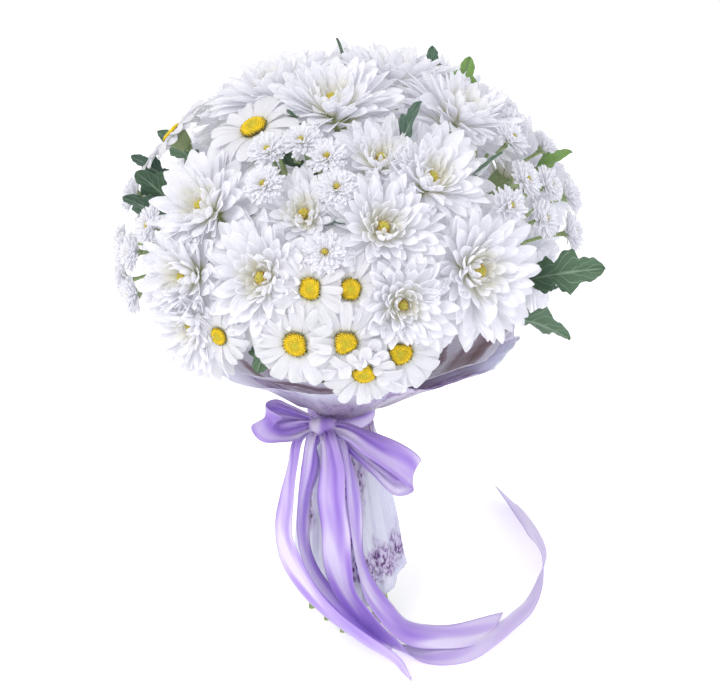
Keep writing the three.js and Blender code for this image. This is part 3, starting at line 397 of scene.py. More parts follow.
def add_slabs(body, grids, thickness, along, across, layer=0.0):
    """Adds a thin closed slab on each grid of points. grids is slabs x rows x columns x 3."""
    slabs, rows, cols = grids.shape[:3]
    normal = unit(np.cross(np.gradient(grids, axis=1), np.gradient(grids, axis=2)))
    half = 0.5 * np.broadcast_to(thickness, (slabs, rows, cols))[..., None]
    both = np.stack([grids + normal * half, grids - normal * half], axis=1)
    template = np.array(strip_faces(rows, cols))
    faces = (template[None] + 2 * rows * cols * np.arange(slabs)[:, None, None]).reshape(-1, 4)

    def spread(mark):
        mark = np.asarray(mark, float)
        mark = mark.reshape((-1, 1, 1)) if mark.ndim == 1 and len(mark) == slabs else mark
        return np.repeat(np.broadcast_to(mark, (slabs, rows, cols))[:, None], 2, axis=1)

    body.add(both, faces.tolist(), spread(along), spread(across), spread(layer))


def ring_faces(rings, sides):
    """Faces between rings of corners, and a cap on the first and the last ring."""
    faces = []
    for r in range(rings - 1):
        for k in range(sides):
            a, b = r * sides + k, r * sides + (k + 1) % sides
            faces.append((a, b, b + sides, a + sides))
    last = (rings - 1) * sides
    return [*faces, tuple(range(sides))[::-1], tuple(range(last, last + sides))]


def add_tube(body, points, radii, sides, layer=0.0, slot=0):
    """Adds a round closed tube along the points."""
    points = np.asarray(points, float)
    along = unit(np.gradient(points, axis=0))
    across = np.cross(along[0], (0, 0, 1) if abs(along[0][2]) < 0.9 else (1, 0, 0))
    rings = []
    turn = 2 * np.pi * np.arange(sides) / sides
    for point, way, radius in zip(points, along, radii):
        across = unit(across - way * np.dot(across, way))
        other = np.cross(way, across)
        rings.append(point + radius * (np.outer(np.cos(turn), across) + np.outer(np.sin(turn), other)))
    done = np.repeat(np.linspace(0, 1, len(points)), sides)
    faces = ring_faces(len(points), sides)
    body.add(np.vstack(rings), faces, done, np.tile(turn, len(points)), layer, slot)


# a bump's rings from its foot up: height and width as parts of its own
BUMP_RINGS = ((-0.6, 0.8), (0.35, 1.0), (0.85, 0.55))
BUMP_SIDES = 6


def add_bumps(body, centres, ways, radii, heights, along, layer=0.0, slot=0):
    """Adds a small pointed dome on each centre, sunk a little into what it stands on."""
    sides = BUMP_SIDES
    centres, ways = np.asarray(centres, float), unit(np.asarray(ways, float))
    helper = np.where(np.abs(ways[:, 2:3]) < 0.9, [[0.0, 0.0, 1.0]], [[1.0, 0.0, 0.0]])
    across = unit(np.cross(ways, helper))
    other = np.cross(ways, across)
    turn = 2 * np.pi * np.arange(sides) / sides
    around = np.cos(turn)[None, :, None] * across[:, None] + np.sin(turn)[None, :, None] * other[:, None]
    radii, heights = radii[:, None, None], heights[:, None, None]
    middles, rises = centres[:, None], heights * ways[:, None]
    rings = [middles + rise * rises + width * radii * around for rise, width in BUMP_RINGS]
    points = np.concatenate([*rings, middles + rises, middles + BUMP_RINGS[0][0] * rises], axis=1)
    faces = []
    for k in range(sides):
        n = (k + 1) % sides
        faces += [(k, n, n + sides, k + sides), (k + sides, n + sides, n + 2 * sides, k + 2 * sides)]
        faces += [(k + 2 * sides, n + 2 * sides, 3 * sides), (n, k, 3 * sides + 1)]
    size = points.shape[1]
    every = [tuple(c + size * i for c in face) for i in range(len(centres)) for face in faces]
    body.add(points, every, along, 0.0, layer, slot)


# ---------------------------------------------------------------- places on the head


def place_on(azimuth, lift, sink):
    """A flower's middle, the way it faces, and two directions across it."""
    height = HEAD["up"] if lift >= 0 else HEAD["down"]
    turn, rise = math.radians(azimuth), math.radians(lift)
    face = np.array([
        HEAD["radius"] * math.cos(rise) * math.sin(turn),
        -HEAD["radius"] * math.cos(rise) * math.cos(turn),
        HEAD["centre_z"] + height * math.sin(rise),
    ])
    steepness = (HEAD["radius"] / height) ** 2
    out = unit(np.array([face[0], face[1], (face[2] - HEAD["centre_z"]) * steepness]))
    east = np.array([math.cos(turn), math.sin(turn), 0.0])
    north = unit(np.cross(out, east))
    return {"middle": face - sink * out, "out": out, "east": east, "north": north}


def flower_site(azimuth, lift, radius, sink, foot):
    """Where a flower is, its radius, and the foot of its calyx as distance and height."""
    return {**place_on(azimuth, lift, sink), "radius": radius, "foot": foot}


def button_site(azimuth, lift):
    return flower_site(azimuth, lift, BUTTON["radius"], BUTTON["sink"], BUTTON["foot"])


mums = [flower_site(a, lift, r, MUM_SINK * r + deeper, MUM_FOOT) for a, lift, r, deeper in MUMS]
daisies = [flower_site(a, lift, r, DAISY_SINK * r + deeper, DAISY_FOOT) for a, lift, r, deeper in DAISIES]
sprays = {name: [button_site(*row) for row in rows] for name, rows in SPRAYS.items()}
sites = [*mums, *daisies, *(head for heads in sprays.values() for head in heads)]


def walls_of(site):
    """The walls between a flower and its near neighbours, shared out by their sizes."""
    normals, offsets = [], []
    for other in sites:
        apart = other["middle"] - site["middle"]
        distance = np.linalg.norm(apart)
        if other is site or distance > site["radius"] + other["radius"] + WALL_REACH:
            continue
        share = distance * site["radius"] / (site["radius"] + other["radius"])
        normals.append(apart / distance)
        offsets.append(share + INTERLEAVE)
    return np.array(normals), np.array(offsets)


def sideways_of(site, turns):
    """The directions across a flower at these turns from its east."""
    return np.cos(turns)[..., None] * site["east"] + np.sin(turns)[..., None] * site["north"]


def room_for(site, turns):
    """How much of its radius a flower has room for in each direction."""
    turns = np.asarray(turns, float)
    normals, offsets = walls_of(site)
    if len(normals) == 0:
        return np.ones_like(turns)
    towards = sideways_of(site, turns) @ normals.T
    reach = np.where(towards > IN_THE_WAY, offsets / np.maximum(towards, IN_THE_WAY), site["radius"])
    return np.clip(reach.min(axis=-1) / site["radius"], LEAST_ROOM, 1)


def on_flower(site, turns, distance, height):
    """The flower's shape in its place: distance and height are parts of its radius."""
    part = room_for(site, turns)
    rise = PRESSED_RISE * distance**2 * (1 - part)
    return (
        site["middle"]
        + sideways_of(site, turns) * (distance * part * site["radius"])[..., None]
        + site["out"] * ((height + rise) * site["radius"])[..., None]
    )


# ---------------------------------------------------------------- petals


# how far along a petal each row of its grid is, and how wide it is there
SPOON = [
    [0, 0.4], [0.18, 0.55], [0.38, 0.8], [0.55, 0.97], [0.7, 1.0],
    [0.84, 0.8], [0.94, 0.44], [1, 0.12],
]
STRAP = [
    [0, 0.5], [0.14, 0.64], [0.34, 0.86], [0.56, 1.0], [0.76, 1.0],
    [0.9, 0.86], [0.97, 0.6], [1, 0.3],
]
QUILL = [[0, 0.7], [0.4, 0.8], [0.75, 1.0], [0.93, 0.75], [1, 0.3]]
QUILL_THICKNESS = 0.4


# how much narrower a petal may be pressed, and how much of its thickness is gone at its side
# edges and at its tip
NARROWEST = 0.7
THIN_SIDE, THIN_TIP = 0.65, 0.5


def add_petals(body, site, petals, outline, columns, thickness, ribs=0.0):
    """Adds a flower's petals, each a thin slab with ribs of this height.

    petals holds arrays with one entry a petal: turn, root, middle and tip (distance and height
    as parts of the radius), half (half of its width), cup, curl, twist and layer.
    """
    rows, width = np.array(outline).T
    across = np.linspace(-1, 1, columns)
    root, middle, tip = (petals[key][:, None] for key in ("root", "middle", "tip"))
    t = rows[None, :, None]
    # a parabola through the root, the middle and the tip
    control = 2 * middle - 0.5 * (root + tip)
    route = (1 - t) ** 2 * root + 2 * t * (1 - t) * control + t**2 * tip
    turns = np.repeat(petals["turn"][:, None], len(rows), axis=1)
    centre = on_flower(site, turns, route[..., 0], route[..., 1])
    along = unit(np.gradient(centre, axis=1))
    level = -np.sin(turns)[..., None] * site["east"] + np.cos(turns)[..., None] * site["north"]
    level = unit(level - along * np.sum(level * along, axis=-1, keepdims=True))
    above = np.cross(along, level)
    twist = (petals["twist"][:, None] * rows[None])[..., None]
    side = level * np.cos(twist) + above * np.sin(twist)
    above = np.cross(along, side)
    pressed = np.maximum(room_for(site, petals["turn"]), NARROWEST)[:, None]
    half = petals["half"][:, None] * pressed * width[None] * site["radius"]
    s = across[None, None, :, None]
    half = half[..., None, None]
    lift = petals["cup"][:, None, None, None] * s**2 * half
    lift = lift + petals["curl"][:, None, None, None] * (rows**3)[None, :, None, None] * site["radius"]
    # three ribs across, fading out at both ends
    lift = lift + ribs * np.cos(2.5 * np.pi * s) * np.minimum(1, 4 * rows * (1 - rows))[None, :, None, None]
    grids = centre[:, :, None] + side[:, :, None] * s * half + above[:, :, None] * lift
    thin = (1 - THIN_SIDE * across**2)[None, :] * (1 - THIN_TIP * rows)[:, None]
    add_slabs(body, grids, thickness * thin[None], rows[:, None], across[None], petals["layer"])


def grown(rng, keys, count, first_turn):
    """Petals set one golden angle after another, from the outermost to the innermost.

    Each varies a little in reach, lift, width, cup, curl and twist.
    """
    u = (np.arange(count) + 0.5) / count
    shape = blend_at(u, keys)
    stretch = (1 + rng.uniform(-0.09, 0.09, count))[:, None]
    lifted = rng.normal(0, 0.05, count)
    turn = first_turn + GOLDEN_ANGLE * np.arange(count) + rng.uniform(-0.2, 0.2, count)
    middle, tip = shape[:, 2:4] * stretch, shape[:, 4:6] * stretch
    middle[:, 1] += 0.5 * lifted
    tip[:, 1] += lifted
    return {
        "turn": turn, "root": shape[:, 0:2], "middle": middle, "tip": tip,
        "half": shape[:, 6] * rng.uniform(0.86, 1.12, count),
        "cup": shape[:, 7] * rng.uniform(0.7, 1.3, count),
        "curl": shape[:, 8] + rng.normal(0, 0.035, count),
        "twist": rng.normal(0, 0.45, count),
        "layer": u + rng.uniform(-0.04, 0.04, count),
    }


# from the outermost petal (0) to the innermost (1): root, middle and tip, each as distance and
# height, then half of the width, cup and curl
MUM_KEYS = [
    [0.0, 0.24, -0.3, 0.64, -0.22, 1.0, -0.28, 0.108, 0.22, 0.0],
    [0.22, 0.24, -0.2, 0.66, -0.06, 1.03, -0.06, 0.112, 0.26, 0.03],
    [0.45, 0.21, -0.08, 0.58, 0.1, 0.93, 0.17, 0.11, 0.3, 0.04],
    [0.66, 0.16, -0.01, 0.46, 0.2, 0.7, 0.34, 0.1, 0.34, 0.05],
    [0.82, 0.12, 0.03, 0.31, 0.22, 0.44, 0.4, 0.082, 0.4, 0.06],
    [0.93, 0.09, 0.04, 0.2, 0.18, 0.24, 0.32, 0.06, 0.45, 0.04],
    [1.0, 0.07, 0.04, 0.13, 0.13, 0.14, 0.22, 0.042, 0.4, 0.02],
]
BUTTON_KEYS = [
    [0.0, 0.2, -0.12, 0.62, 0.0, 1.0, 0.08, 0.1, 0.4, 0.0],
    [0.3, 0.2, -0.02, 0.58, 0.14, 0.94, 0.26, 0.1, 0.5, 0.02],
    [0.6, 0.18, 0.06, 0.46, 0.26, 0.76, 0.44, 0.092, 0.6, 0.02],
    [0.85, 0.14, 0.1, 0.31, 0.3, 0.46, 0.5, 0.08, 0.7, 0.02],
    [1.0, 0.1, 0.12, 0.2, 0.28, 0.26, 0.46, 0.066, 0.7, 0.02],
]


# the material slots after the petals' or the stems' own
CALYX, EYE, CUT_END = 1, 2, 1


def add_calyx(body, site, top, width):
    """The green cup under a bloom, from the top of its stem up into its petals."""
    distance, foot = site["foot"]
    heights = np.array([foot, foot + 0.03, 0.5 * (foot + top), top, top + 0.02])
    widths = np.array([distance, distance * 1.15, 0.6 * width + 0.4 * distance, width, 0.4 * width])
    points = site["middle"] + heights[:, None] * site["radius"] * site["out"]
    add_tube(body, points, widths * site["radius"], sides=14, slot=CALYX)


def add_eye(body, site, reach, height, size, count, seed):
    """Small florets packed at the heart of a flower: reach, height and size are parts of its radius."""
    rng = np.random.default_rng(seed)
    u = (np.arange(count) + 0.5) / count
    turn = GOLDEN_ANGLE * np.arange(count)
    distance = reach * np.sqrt(u)
    centres = on_flower(site, turn, distance, height * (1 - u**2))
    ways = site["out"] + 0.6 * unit(centres - site["middle"] + 1e-6)
    radii = size * site["radius"] * rng.uniform(0.85, 1.15, count)
    add_bumps(body, centres, ways, radii, 1.5 * radii, u, u, EYE)


def build_mum(number, site, sizes, materials):
    rng = np.random.default_rng(MUM_SEEDS[0] + MUM_SEEDS[1] * number)
    body = Body()
    petals = grown(rng, MUM_KEYS, sizes.mum_petals, rng.uniform(0, 6))
    add_petals(body, site, petals, SPOON, columns=7, thickness=sizes.petal_thickness * MM)
    add_calyx(body, site, top=-0.2, width=0.27)
    add_eye(body, site, reach=0.1, height=0.2, size=0.03, count=26, seed=number)
    return body.make(f"mum_{number + 1:02d}_petals", materials)


def build_daisy(number, site, sizes, materials):
    """A ring of strap-shaped petals, every other one a little lower and shorter."""
    rng = np.random.default_rng(DAISY_SEEDS[0] + DAISY_SEEDS[1] * number)
    count = sizes.daisy_petals
    row = np.arange(count) % 2
    low = row[:, None] * np.array([0.0, -0.05])
    stretch = (1 - 0.05 * row + rng.uniform(-0.06, 0.04, count))[:, None]
    droop = rng.normal(0, 0.045, count)
    tip = np.array([1.0, -0.05]) * stretch + low
    tip[:, 1] += droop
    petals = {
        "turn": 2 * np.pi * (np.arange(count) / count) + rng.uniform(-0.05, 0.05, count),
        "root": np.repeat([[0.2, -0.04]], count, axis=0) + low,
        "middle": np.array([0.66, 0.05]) * stretch + low,
        "tip": tip,
        "half": 0.162 * rng.uniform(0.82, 1.14, count),
        "cup": rng.uniform(-0.1, 0.35, count),
        "curl": rng.normal(-0.02, 0.03, count),
        "twist": rng.normal(0, 0.22, count),
        "layer": row + rng.uniform(0, 0.9, count) * 0.3,
    }
    body = Body()
    add_petals(body, site, petals, STRAP, columns=11, thickness=sizes.petal_thickness * MM, ribs=0.22)
    add_calyx(body, site, top=-0.07, width=0.27)
    return body.make(f"daisy_{number + 1:02d}_petals", materials)


# the dome under a disc's florets: distance and height as parts of the disc's
DOME = [[0.0, 0.02], [0.7, 0.0], [0.94, 0.06], [0.8, 0.62], [0.45, 0.88], [0.0, 0.94]]
DOME_SIDES = 24


def build_disc(number, site, sizes, material):
    """The yellow disc: a low dome set with florets in a golden spiral."""
    body = Body()
    turn = np.linspace(0, 2 * np.pi, DOME_SIDES + 1)[:-1]
    rings = []
    for part, rise in DOME:
        distance = np.full(DOME_SIDES, max(part, 0.02) * DISC["radius"])
        height = np.full(DOME_SIDES, DAISY_TOP + rise * DISC["height"])
        rings.append(on_flower(site, turn, distance, height))
    along = np.repeat([part for part, _ in DOME], DOME_SIDES)
    body.add(np.vstack(rings), ring_faces(len(DOME), DOME_SIDES), along)
    count = sizes.disc_florets
    rng = np.random.default_rng(number)
    u = (np.arange(count) + 0.5) / count
    height = DAISY_TOP + DISC["height"] * (0.94 - 0.62 * u**1.6 - 0.16 * np.exp(-14 * u))
    centres = on_flower(site, GOLDEN_ANGLE * np.arange(count), DISC["radius"] * np.sqrt(u), height)
    ways = site["out"] + 1.1 * u[:, None] * unit(centres - site["middle"])
    radii = 0.024 * site["radius"] * (0.8 + 0.35 * u) * rng.uniform(0.9, 1.1, count)
    add_bumps(body, centres, ways, radii, radii * (1.1 + 0.9 * u), u, rng.uniform(0, 1, count))
    return body.make(f"daisy_{number + 1:02d}_florets", [material])


def add_button(body, site, sizes, seed):
    """A small double flower of quills, which hardly twist."""
    rng = np.random.default_rng(seed)
    petals = grown(rng, BUTTON_KEYS, sizes.button_petals, rng.uniform(0, 6))
    petals["twist"] *= 0.4
    add_petals(body, site, petals, QUILL, columns=5, thickness=QUILL_THICKNESS)
    add_calyx(body, site, top=-0.02, width=0.34)
    add_eye(body, site, reach=0.15, height=0.34, size=0.045, count=22, seed=seed)


# ---------------------------------------------------------------- stems and sprays


def flower_top(site):
    """The last two points of the stem under a flower."""
    base = site["middle"] + site["out"] * (site["foot"][1] * site["radius"] - GAP)
    return [base - site["out"] * STEM["neck"], base]


def fork_of(flowers, drawn_in):
    middle = np.mean([flower["middle"] for flower in flowers], axis=0)
    return middle + (np.array([TIE["x"], 0, TIE["z"]]) - middle) * drawn_in


def flower_stem(flowers, index):
    """One flower's stem up to its calyx, or a stem that forks into twigs under several."""
    cut = STEM_CUTS[index % len(STEM_CUTS)]
    tops = [flower_top(flower) for flower in flowers]
    if len(flowers) == 1:
        foot = flowers[0]["foot"][0] * flowers[0]["radius"]
        return {"start": tops[0][0], "top": tops[0], "cut": cut, "twigs": [], "foot": foot}
    fork = fork_of(flowers, TWIG["drawn_in"])
    return {"start": fork, "top": [fork], "cut": cut, "twigs": tops, "foot": 0}


def spray_stem(heads, index):
    top = fork_of(heads, SPRAY["drawn_in"]) - np.array([0, 0, GAP])
    return {"start": top, "top": [top], "cut": STEM_CUTS[index % 2], "twigs": [], "foot": 0}


def gather(stems):
    """Draws the stems together until they lie side by side in the tie."""
    apex = TIE["z"] - STEM["apex_drop"]
    waist = np.array([s["start"][:2] * (TIE["z"] - apex) / (s["start"][2] - apex) for s in stems])
    need = 2 * STEM["radius"] + GAP
    for turn in range(GATHER["rounds"]):
        if turn < GATHER["pulls"]:
            waist *= GATHER["pull"]
        for i in range(len(stems)):
            for j in range(i + 1, len(stems)):
                dx, dy = waist[j, 0] - waist[i, 0], waist[j, 1] - waist[i, 1]
                distance = math.hypot(dx, dy)
                if distance >= need:
                    continue
                push = 0.5 * (need - distance) / max(distance, 1e-9)
                waist[i, 0] -= dx * push
                waist[i, 1] -= dy * push
                waist[j, 0] += dx * push
                waist[j, 1] += dy * push
    return waist


def stem_list():
    groups = [[mum] for mum in mums] + [[daisies[k] for k in row] for row in DAISY_STEMS]
    stems = [flower_stem(group, k) for k, group in enumerate(groups)]
    stems += [spray_stem(heads, k) for k, heads in enumerate(sprays.values())]
    for stem, waist in zip(stems, gather(stems)):
        stem["waist"] = waist
    return stems


def stem_route(stem, spread):
    """The points of a stem from its cut end up to its flower."""
    x, y = stem["waist"]
    high = np.array([x + TIE["x"], y, TIE["z"] + TIE["half_height"]])
    low = high - np.array([0, 0, 2 * TIE["half_height"]])
    turn = math.radians(STEM["twist"])
    turned = (x * math.cos(turn) - y * math.sin(turn), x * math.sin(turn) + y * math.cos(turn), 0)
    foot = spread * np.array(turned)
    foot = foot + (low - foot) * stem["cut"] / low[2]
    middle = float(sway(SHOULDER["z"]))
    spot = high + (stem["start"] - high) * (SHOULDER["z"] - high[2]) / (stem["start"][2] - high[2])
    reach = math.hypot(spot[0] - middle, spot[1])
    bend = []
    if reach > SHOULDER["radius"]:
        part = SHOULDER["radius"] / reach
        bend = [np.array([middle + (spot[0] - middle) * part, spot[1] * part, SHOULDER["z"]])]
    return [foot, low, high, *bend, *stem["top"]]


def build_stems(stems, materials):
    """The stems and twigs, which wave a little in thickness and widen into the calyxes."""
    body = Body()
    spread = FLOOR_RADIUS / max(np.linalg.norm(s["waist"]) + STEM["radius"] for s in stems)
    rng = np.random.default_rng(STEM_SEED)
    for stem in stems:
        route = stem_route(stem, spread)
        line = smooth_curve(route, 7)
        line[0] = route[0]
        radii = STEM["radius"] * (1 + 0.05 * np.sin(np.arange(len(line)) * 1.7 + rng.uniform(0, 6)))
        if stem["foot"]:
            radii[-3:] = [STEM["radius"] * 1.05, 0.5 * (stem["foot"] + STEM["radius"]), stem["foot"] + 0.6]
        add_tube(body, line, radii, sides=10, layer=rng.uniform(0, 1))
        for twig in stem["twigs"]:
            line = smooth_curve([stem["start"], *twig], 6)
            radii = np.full(len(line), TWIG["radius"])
            radii[-2:] = [TWIG["radius"] * 1.6, TWIG["radius"] * 2.4]
            add_tube(body, line, radii, sides=8, layer=rng.uniform(0, 1))
        # the cut end, paler and just proud of the skin
        cut = route[0] + np.array([0, 0, 0.02])
        face = [cut, cut + 1.4 * unit(route[1] - cut)]
        add_tube(body, face, [STEM["radius"] * 1.04] * 2, sides=10, slot=CUT_END)
    return body.make("stems", materials)


def build_spray(name, heads, sizes, materials):
    """Button flowers on branches that leave one axis one after another."""
    body = Body()
    fork = fork_of(heads, SPRAY["drawn_in"])
    middle = np.mean([head["middle"] for head in heads], axis=0)
    reach = SPRAY["reach"] * np.linalg.norm(middle - fork)
    way = unit(middle - fork)
    axis = [fork, fork + reach * way]
    add_tube(body, axis, [SPRAY["axis"], SPRAY["axis"] * 0.8], sides=8, slot=CALYX)
    first_seed = SPRAY_SEEDS[0] + SPRAY_SEEDS[1] * list(SPRAYS).index(name)
    for k, head in enumerate(heads):
        add_button(body, head, sizes, first_seed + k)
        neck = head["middle"] + head["foot"][1] * head["radius"] * head["out"]
        drop = head["middle"] - SPRAY["drop"] * head["out"]
        root = fork + way * reach * (k + 0.6) / len(heads)
        line = smooth_curve([root, drop, neck], 5)
        radii = np.full(len(line), SPRAY["branch"])
        radii[-1] = 2.0
        add_tube(body, line, radii, sides=7, slot=CALYX)
    return body.make(f"spray_{name}_flowers", materials)


# ---------------------------------------------------------------- leaves


def leaf_frame(row):
    azimuth, lift, length, width, stands, lean, turn, spin = row
    place = place_on(azimuth, lift, 0)
    lean, turn, spin = (math.radians(a) for a in (lean, turn, spin))
    lean_way = place["north"] * math.cos(turn) + place["east"] * math.sin(turn)
    along = place["out"] * math.cos(lean) + lean_way * math.sin(lean)
    side = unit(np.cross(along, lean_way + 0.01 * place["out"]))
    side = side * math.cos(spin) + np.cross(along, side) * math.sin(spin)
    tip = place["middle"] + place["out"] * stands
    return {
        "base": tip - along * length, "along": along, "side": side, "up": np.cross(side, along),
        "length": length, "half": width / 2,
    }


def stalk_root(leaf, stems):
    """The nearest spot on a stem to the foot of a leaf."""
    under = leaf["base"] - leaf["along"] * STALK_DROP
    spots = []
    for stem in stems:
        low = np.array([stem["waist"][0] + TIE["x"], stem["waist"][1], TIE["z"] + TIE["half_height"]])
        line = stem["start"] - low
        part = np.clip(np.dot(under - low, line) / np.dot(line, line), 0, 1)
        spots.append(low + part * line)
    return min(spots, key=lambda spot: np.linalg.norm(spot - leaf["base"]))


LEAF_TEETH = 9
TOOTH_DEPTH = 0.16
LEAF_THICKNESS = 0.45


def leaf_edge(part, phase):
    """Half of the leaf's width along it, with its lobes and the teeth on them."""
    width = np.interp(part, *np.array(LEAF_OUTLINE).T)
    tooth = 1 - TOOTH_DEPTH * np.abs(((part * LEAF_TEETH + phase) % 1) - 0.35) / 0.65
    # the foot of the blade has no teeth
    return width * tooth * np.where(part < 0.2, 1 / np.maximum(tooth, 0.1), 1)


def add_leaf(body, leaf, root, rng, young):
    part = np.linspace(0, 1, 44)[:, None]
    s = np.linspace(-1, 1, 11)[None]
    left, right = leaf_edge(part, rng.uniform(0, 1)), leaf_edge(part, rng.uniform(0, 1))
    out = s * np.where(s < 0, left, right)
    length, half = leaf["length"], leaf["half"]
    # lobes point forward, so the edge is further along than the rib beside it
    forward = part + 0.1 * np.abs(out) * (1 - part)
    arch = LEAF["arch"] * length * (1 - 4 * (part - 0.5) ** 2)
    wave = 0.06 * half * np.sin(14 * part + rng.uniform(0, 6)) * np.abs(out) ** 2 * np.sign(s)
    quilt = 0.035 * half * np.cos(26 * (part - 0.35 * np.abs(s))) * np.abs(s) * (1 - np.abs(s)) * 4
    up = arch + LEAF["fold"] * np.abs(out) * half + wave + quilt - 0.1 * half * np.exp(-(s / 0.12) ** 2)
    grid = (
        leaf["base"]
        + leaf["along"] * (forward * length)[..., None]
        + leaf["side"] * (out * half)[..., None]
        + leaf["up"] * up[..., None]
    )
    add_slabs(body, grid[None], LEAF_THICKNESS, part, s, young)
    start = leaf["base"] + leaf["up"] * 0.1 + leaf["along"] * 0.06 * length
    line = smooth_curve([root, leaf["base"] - 6 * leaf["along"], start], 5)
    add_tube(body, line, np.linspace(1.5, 1.0, len(line)), sides=7, layer=young)


# Small leaves on the stems in the shade under the flowers: azimuth, lift, length, width, how
# deep its tip stays, lean, the way it leans, spin.
SHADE_LEAVES = [
    [az, lift, 44, 24, -depth, lean, turn, spin]
    for az, lift, depth, lean, turn, spin in (
        (-8, 26, 26, 20, 90, 20), (-33, 25, 24, 25, 0, 60), (20, 26, 26, 30, 90, 10),
        (-60, -8, 16, 20, 180, 20), (-20, -14, 16, 25, 180, 10), (22, -14, 18, 25, 180, 30),
        (46, 4, 22, 25, 90, 20), (74, -8, 16, 20, 180, 10), (100, 8, 24, 20, 0, 60),
        (-90, -8, 14, 20, 180, 30), (-56, 44, 24, 25, 0, 30), (2, 62, 26, 25, 90, 50),
        (60, 52, 26, 25, 0, 20), (150, 30, 28, 20, 90, 20), (-160, -14, 16, 25, 180, 10),
        (170, -16, 14, 20, 180, 30), (-120, -12, 14, 25, 180, 10), (118, -14, 16, 20, 180, 30),
        (-120, 28, 26, 20, 0, 40), (-150, 30, 26, 20, 90, 10), (-70, 54, 26, 20, 0, 40),
        (38, 32, 30, 25, 90, 30), (-10, 8, 24, 20, 90, 20), (5, -16, 18, 25, 180, 30),
    )
]


def build_leaves(stems, materials):
    body = Body()
    rng = np.random.default_rng(LEAF_SEED)
    for k, row in enumerate([*LEAVES, *SHADE_LEAVES]):
        leaf = leaf_frame(row)
        young = 1.0 if k in YOUNG_LEAVES else rng.uniform(0, 0.25)
        add_leaf(body, leaf, stalk_root(leaf, stems), rng, young)
    return body.make("leaves", materials)


# ---------------------------------------------------------------- wraps and binding


# A wrap's rings and its radius where it is snug, the rows and columns of its grid, how often it
# goes round the bunch, the azimuth where it starts, how far its end lies over its start, and in
# metres the flat sheet and how much of its area is used.
WRAPS = {
    "film": {
        "rings": FILM_RINGS, "snug": FILM_RADIUS, "grid": (90, 420), "turns": 1.09, "start": 48,
        "lap": 1.4, "flat": (0.62, 0.34), "area": 0.13,
    },
    "lining": {
        "rings": LINING_RINGS, "snug": LINING_RADIUS, "grid": (54, 360), "turns": 1.04, "start": 150,
        "lap": 0.6, "flat": (0.6, 0.17), "area": 0.075,
    },
}


# how deep the creases and the finer ones are at the tie, and away from it
CREASES, FINE_CREASES = (1.0, 1.68), (0.7, 0.9)


def fold(turn):
    """A sharp zigzag between -0.25 and 0.25, one for each whole turn."""
    return np.abs((turn % 1) - 0.5) - 0.25


def fade(height, none, full):
    """0 at one height, 1 at another and beyond, and even in between."""
    return np.clip((height - none) / (full - none), 0, 1)


def wrap_grid(wrap):
    """Points of a film that runs round the bunch: rows from the rim down, columns around.

    Also gives how far round and how high each point is, which the print follows.
    """
    rows, columns = wrap["grid"]
    place = np.linspace(0, len(wrap["rings"]) - 1, rows)
    curve = smooth_curve([[radius or wrap["snug"], *rest] for radius, *rest in wrap["rings"]], 12)
    radius, height, depth = (
        np.interp(place * 12, np.arange(len(curve)), curve[:, k])[:, None] for k in range(3)
    )
    done = np.linspace(0, 1, columns)[None]
    turn = math.radians(wrap["start"]) + 2 * np.pi * wrap["turns"] * done
    pleat = -0.6 * np.cos(12 * turn) + 0.4 * np.sin(3 * turn + 0.8 * place[:, None])
    drawn_in, raised = (
        np.interp(place, range(3), [*(row[k] for row in STAND_UP), 0])[:, None] for k in range(2)
    )
    front = np.maximum(0, np.cos(turn)) ** 0.7
    radius = radius * (1 - drawn_in * front)
    # creases and finer ones between them, pressed flatter within about 26 mm of the tie
    snugness = np.exp(-(((height - TIE["z"]) / 26) ** 2))
    crease = fold(turn * 7.5 + 0.35 * np.sin(5 * turn))
    fine = fold(turn * 13 + 0.4 * np.sin(3 * turn + 1))
    r = radius + depth * pleat + (CREASES[0] * snugness + CREASES[1] * (1 - snugness)) * crease
    r = r + (FINE_CREASES[0] * snugness + FINE_CREASES[1] * (1 - snugness)) * fine + wrap["lap"] * done
    # the rim waves up and down, and so does the hem, which is higher at the right
    low = fade(height, 40, 10)
    hem = fade(height, 70, 25)
    rim = fade(height, 240, 264)
    waves = 3.2 * np.sin(5 * turn + 1) + 2.2 * np.sin(11 * turn)
    z = height + raised * front + rim * waves + rim * 0.8 * depth * pleat
    z = z - low * (4 * np.sin(2 * turn + 0.6) + 3 * np.sin(5 * turn) - 1)
    z = z + hem * 26 * np.maximum(0, np.sin(turn)) ** 2
    x = sway(height) + r * np.sin(turn)
    y = -r * np.cos(turn)
    return np.stack([x, y, z], axis=-1), turn * 60, height


def build_wrap(name, sizes, material):
    grid, around, height = wrap_grid(WRAPS[name])
    body = Body()
    add_slabs(body, grid[None], sizes.film_thickness * MM, around, height)
    return body.make(f"wrap_{name}", [material])


# the turns of the twine, the radius of a ply, how often the plies twist in a turn, and the half
# of the height that the turns take up
TWINE = {"turns": 4, "ply": 0.42, "twists": 12, "half_height": 2.25}


def build_twine(material):
    """Turns of two-ply twine round the stems."""
    body = Body()
    turns, ply = TWINE["turns"], TWINE["ply"]
    a = np.linspace(0, 2 * np.pi * turns, turns * 60 + 1)
    rise = np.linspace(-TWINE["half_height"], TWINE["half_height"], len(a))
    for strand in (0, np.pi):
        lay = a * TWINE["twists"] + strand
        r = CORE_RADIUS + 0.35 + ply + ply * np.cos(lay)
        z = TIE["z"] + rise + ply * np.sin(lay)
        points = np.stack([TIE["x"] + r * np.cos(a), r * np.sin(a), z], axis=-1)
        add_tube(body, points, np.full(len(a), ply * 0.98), sides=6)
    return body.make("twine", [material])


# ---------------------------------------------------------------- ribbon


# how much of its width is left at the first points after the knot, for a loop and for a tail
LOOP_PINCHES = (0.34, 0.66, 0.9)
TAIL_PINCHES = (0.34, 0.66, 0.86, 0.96, 1)
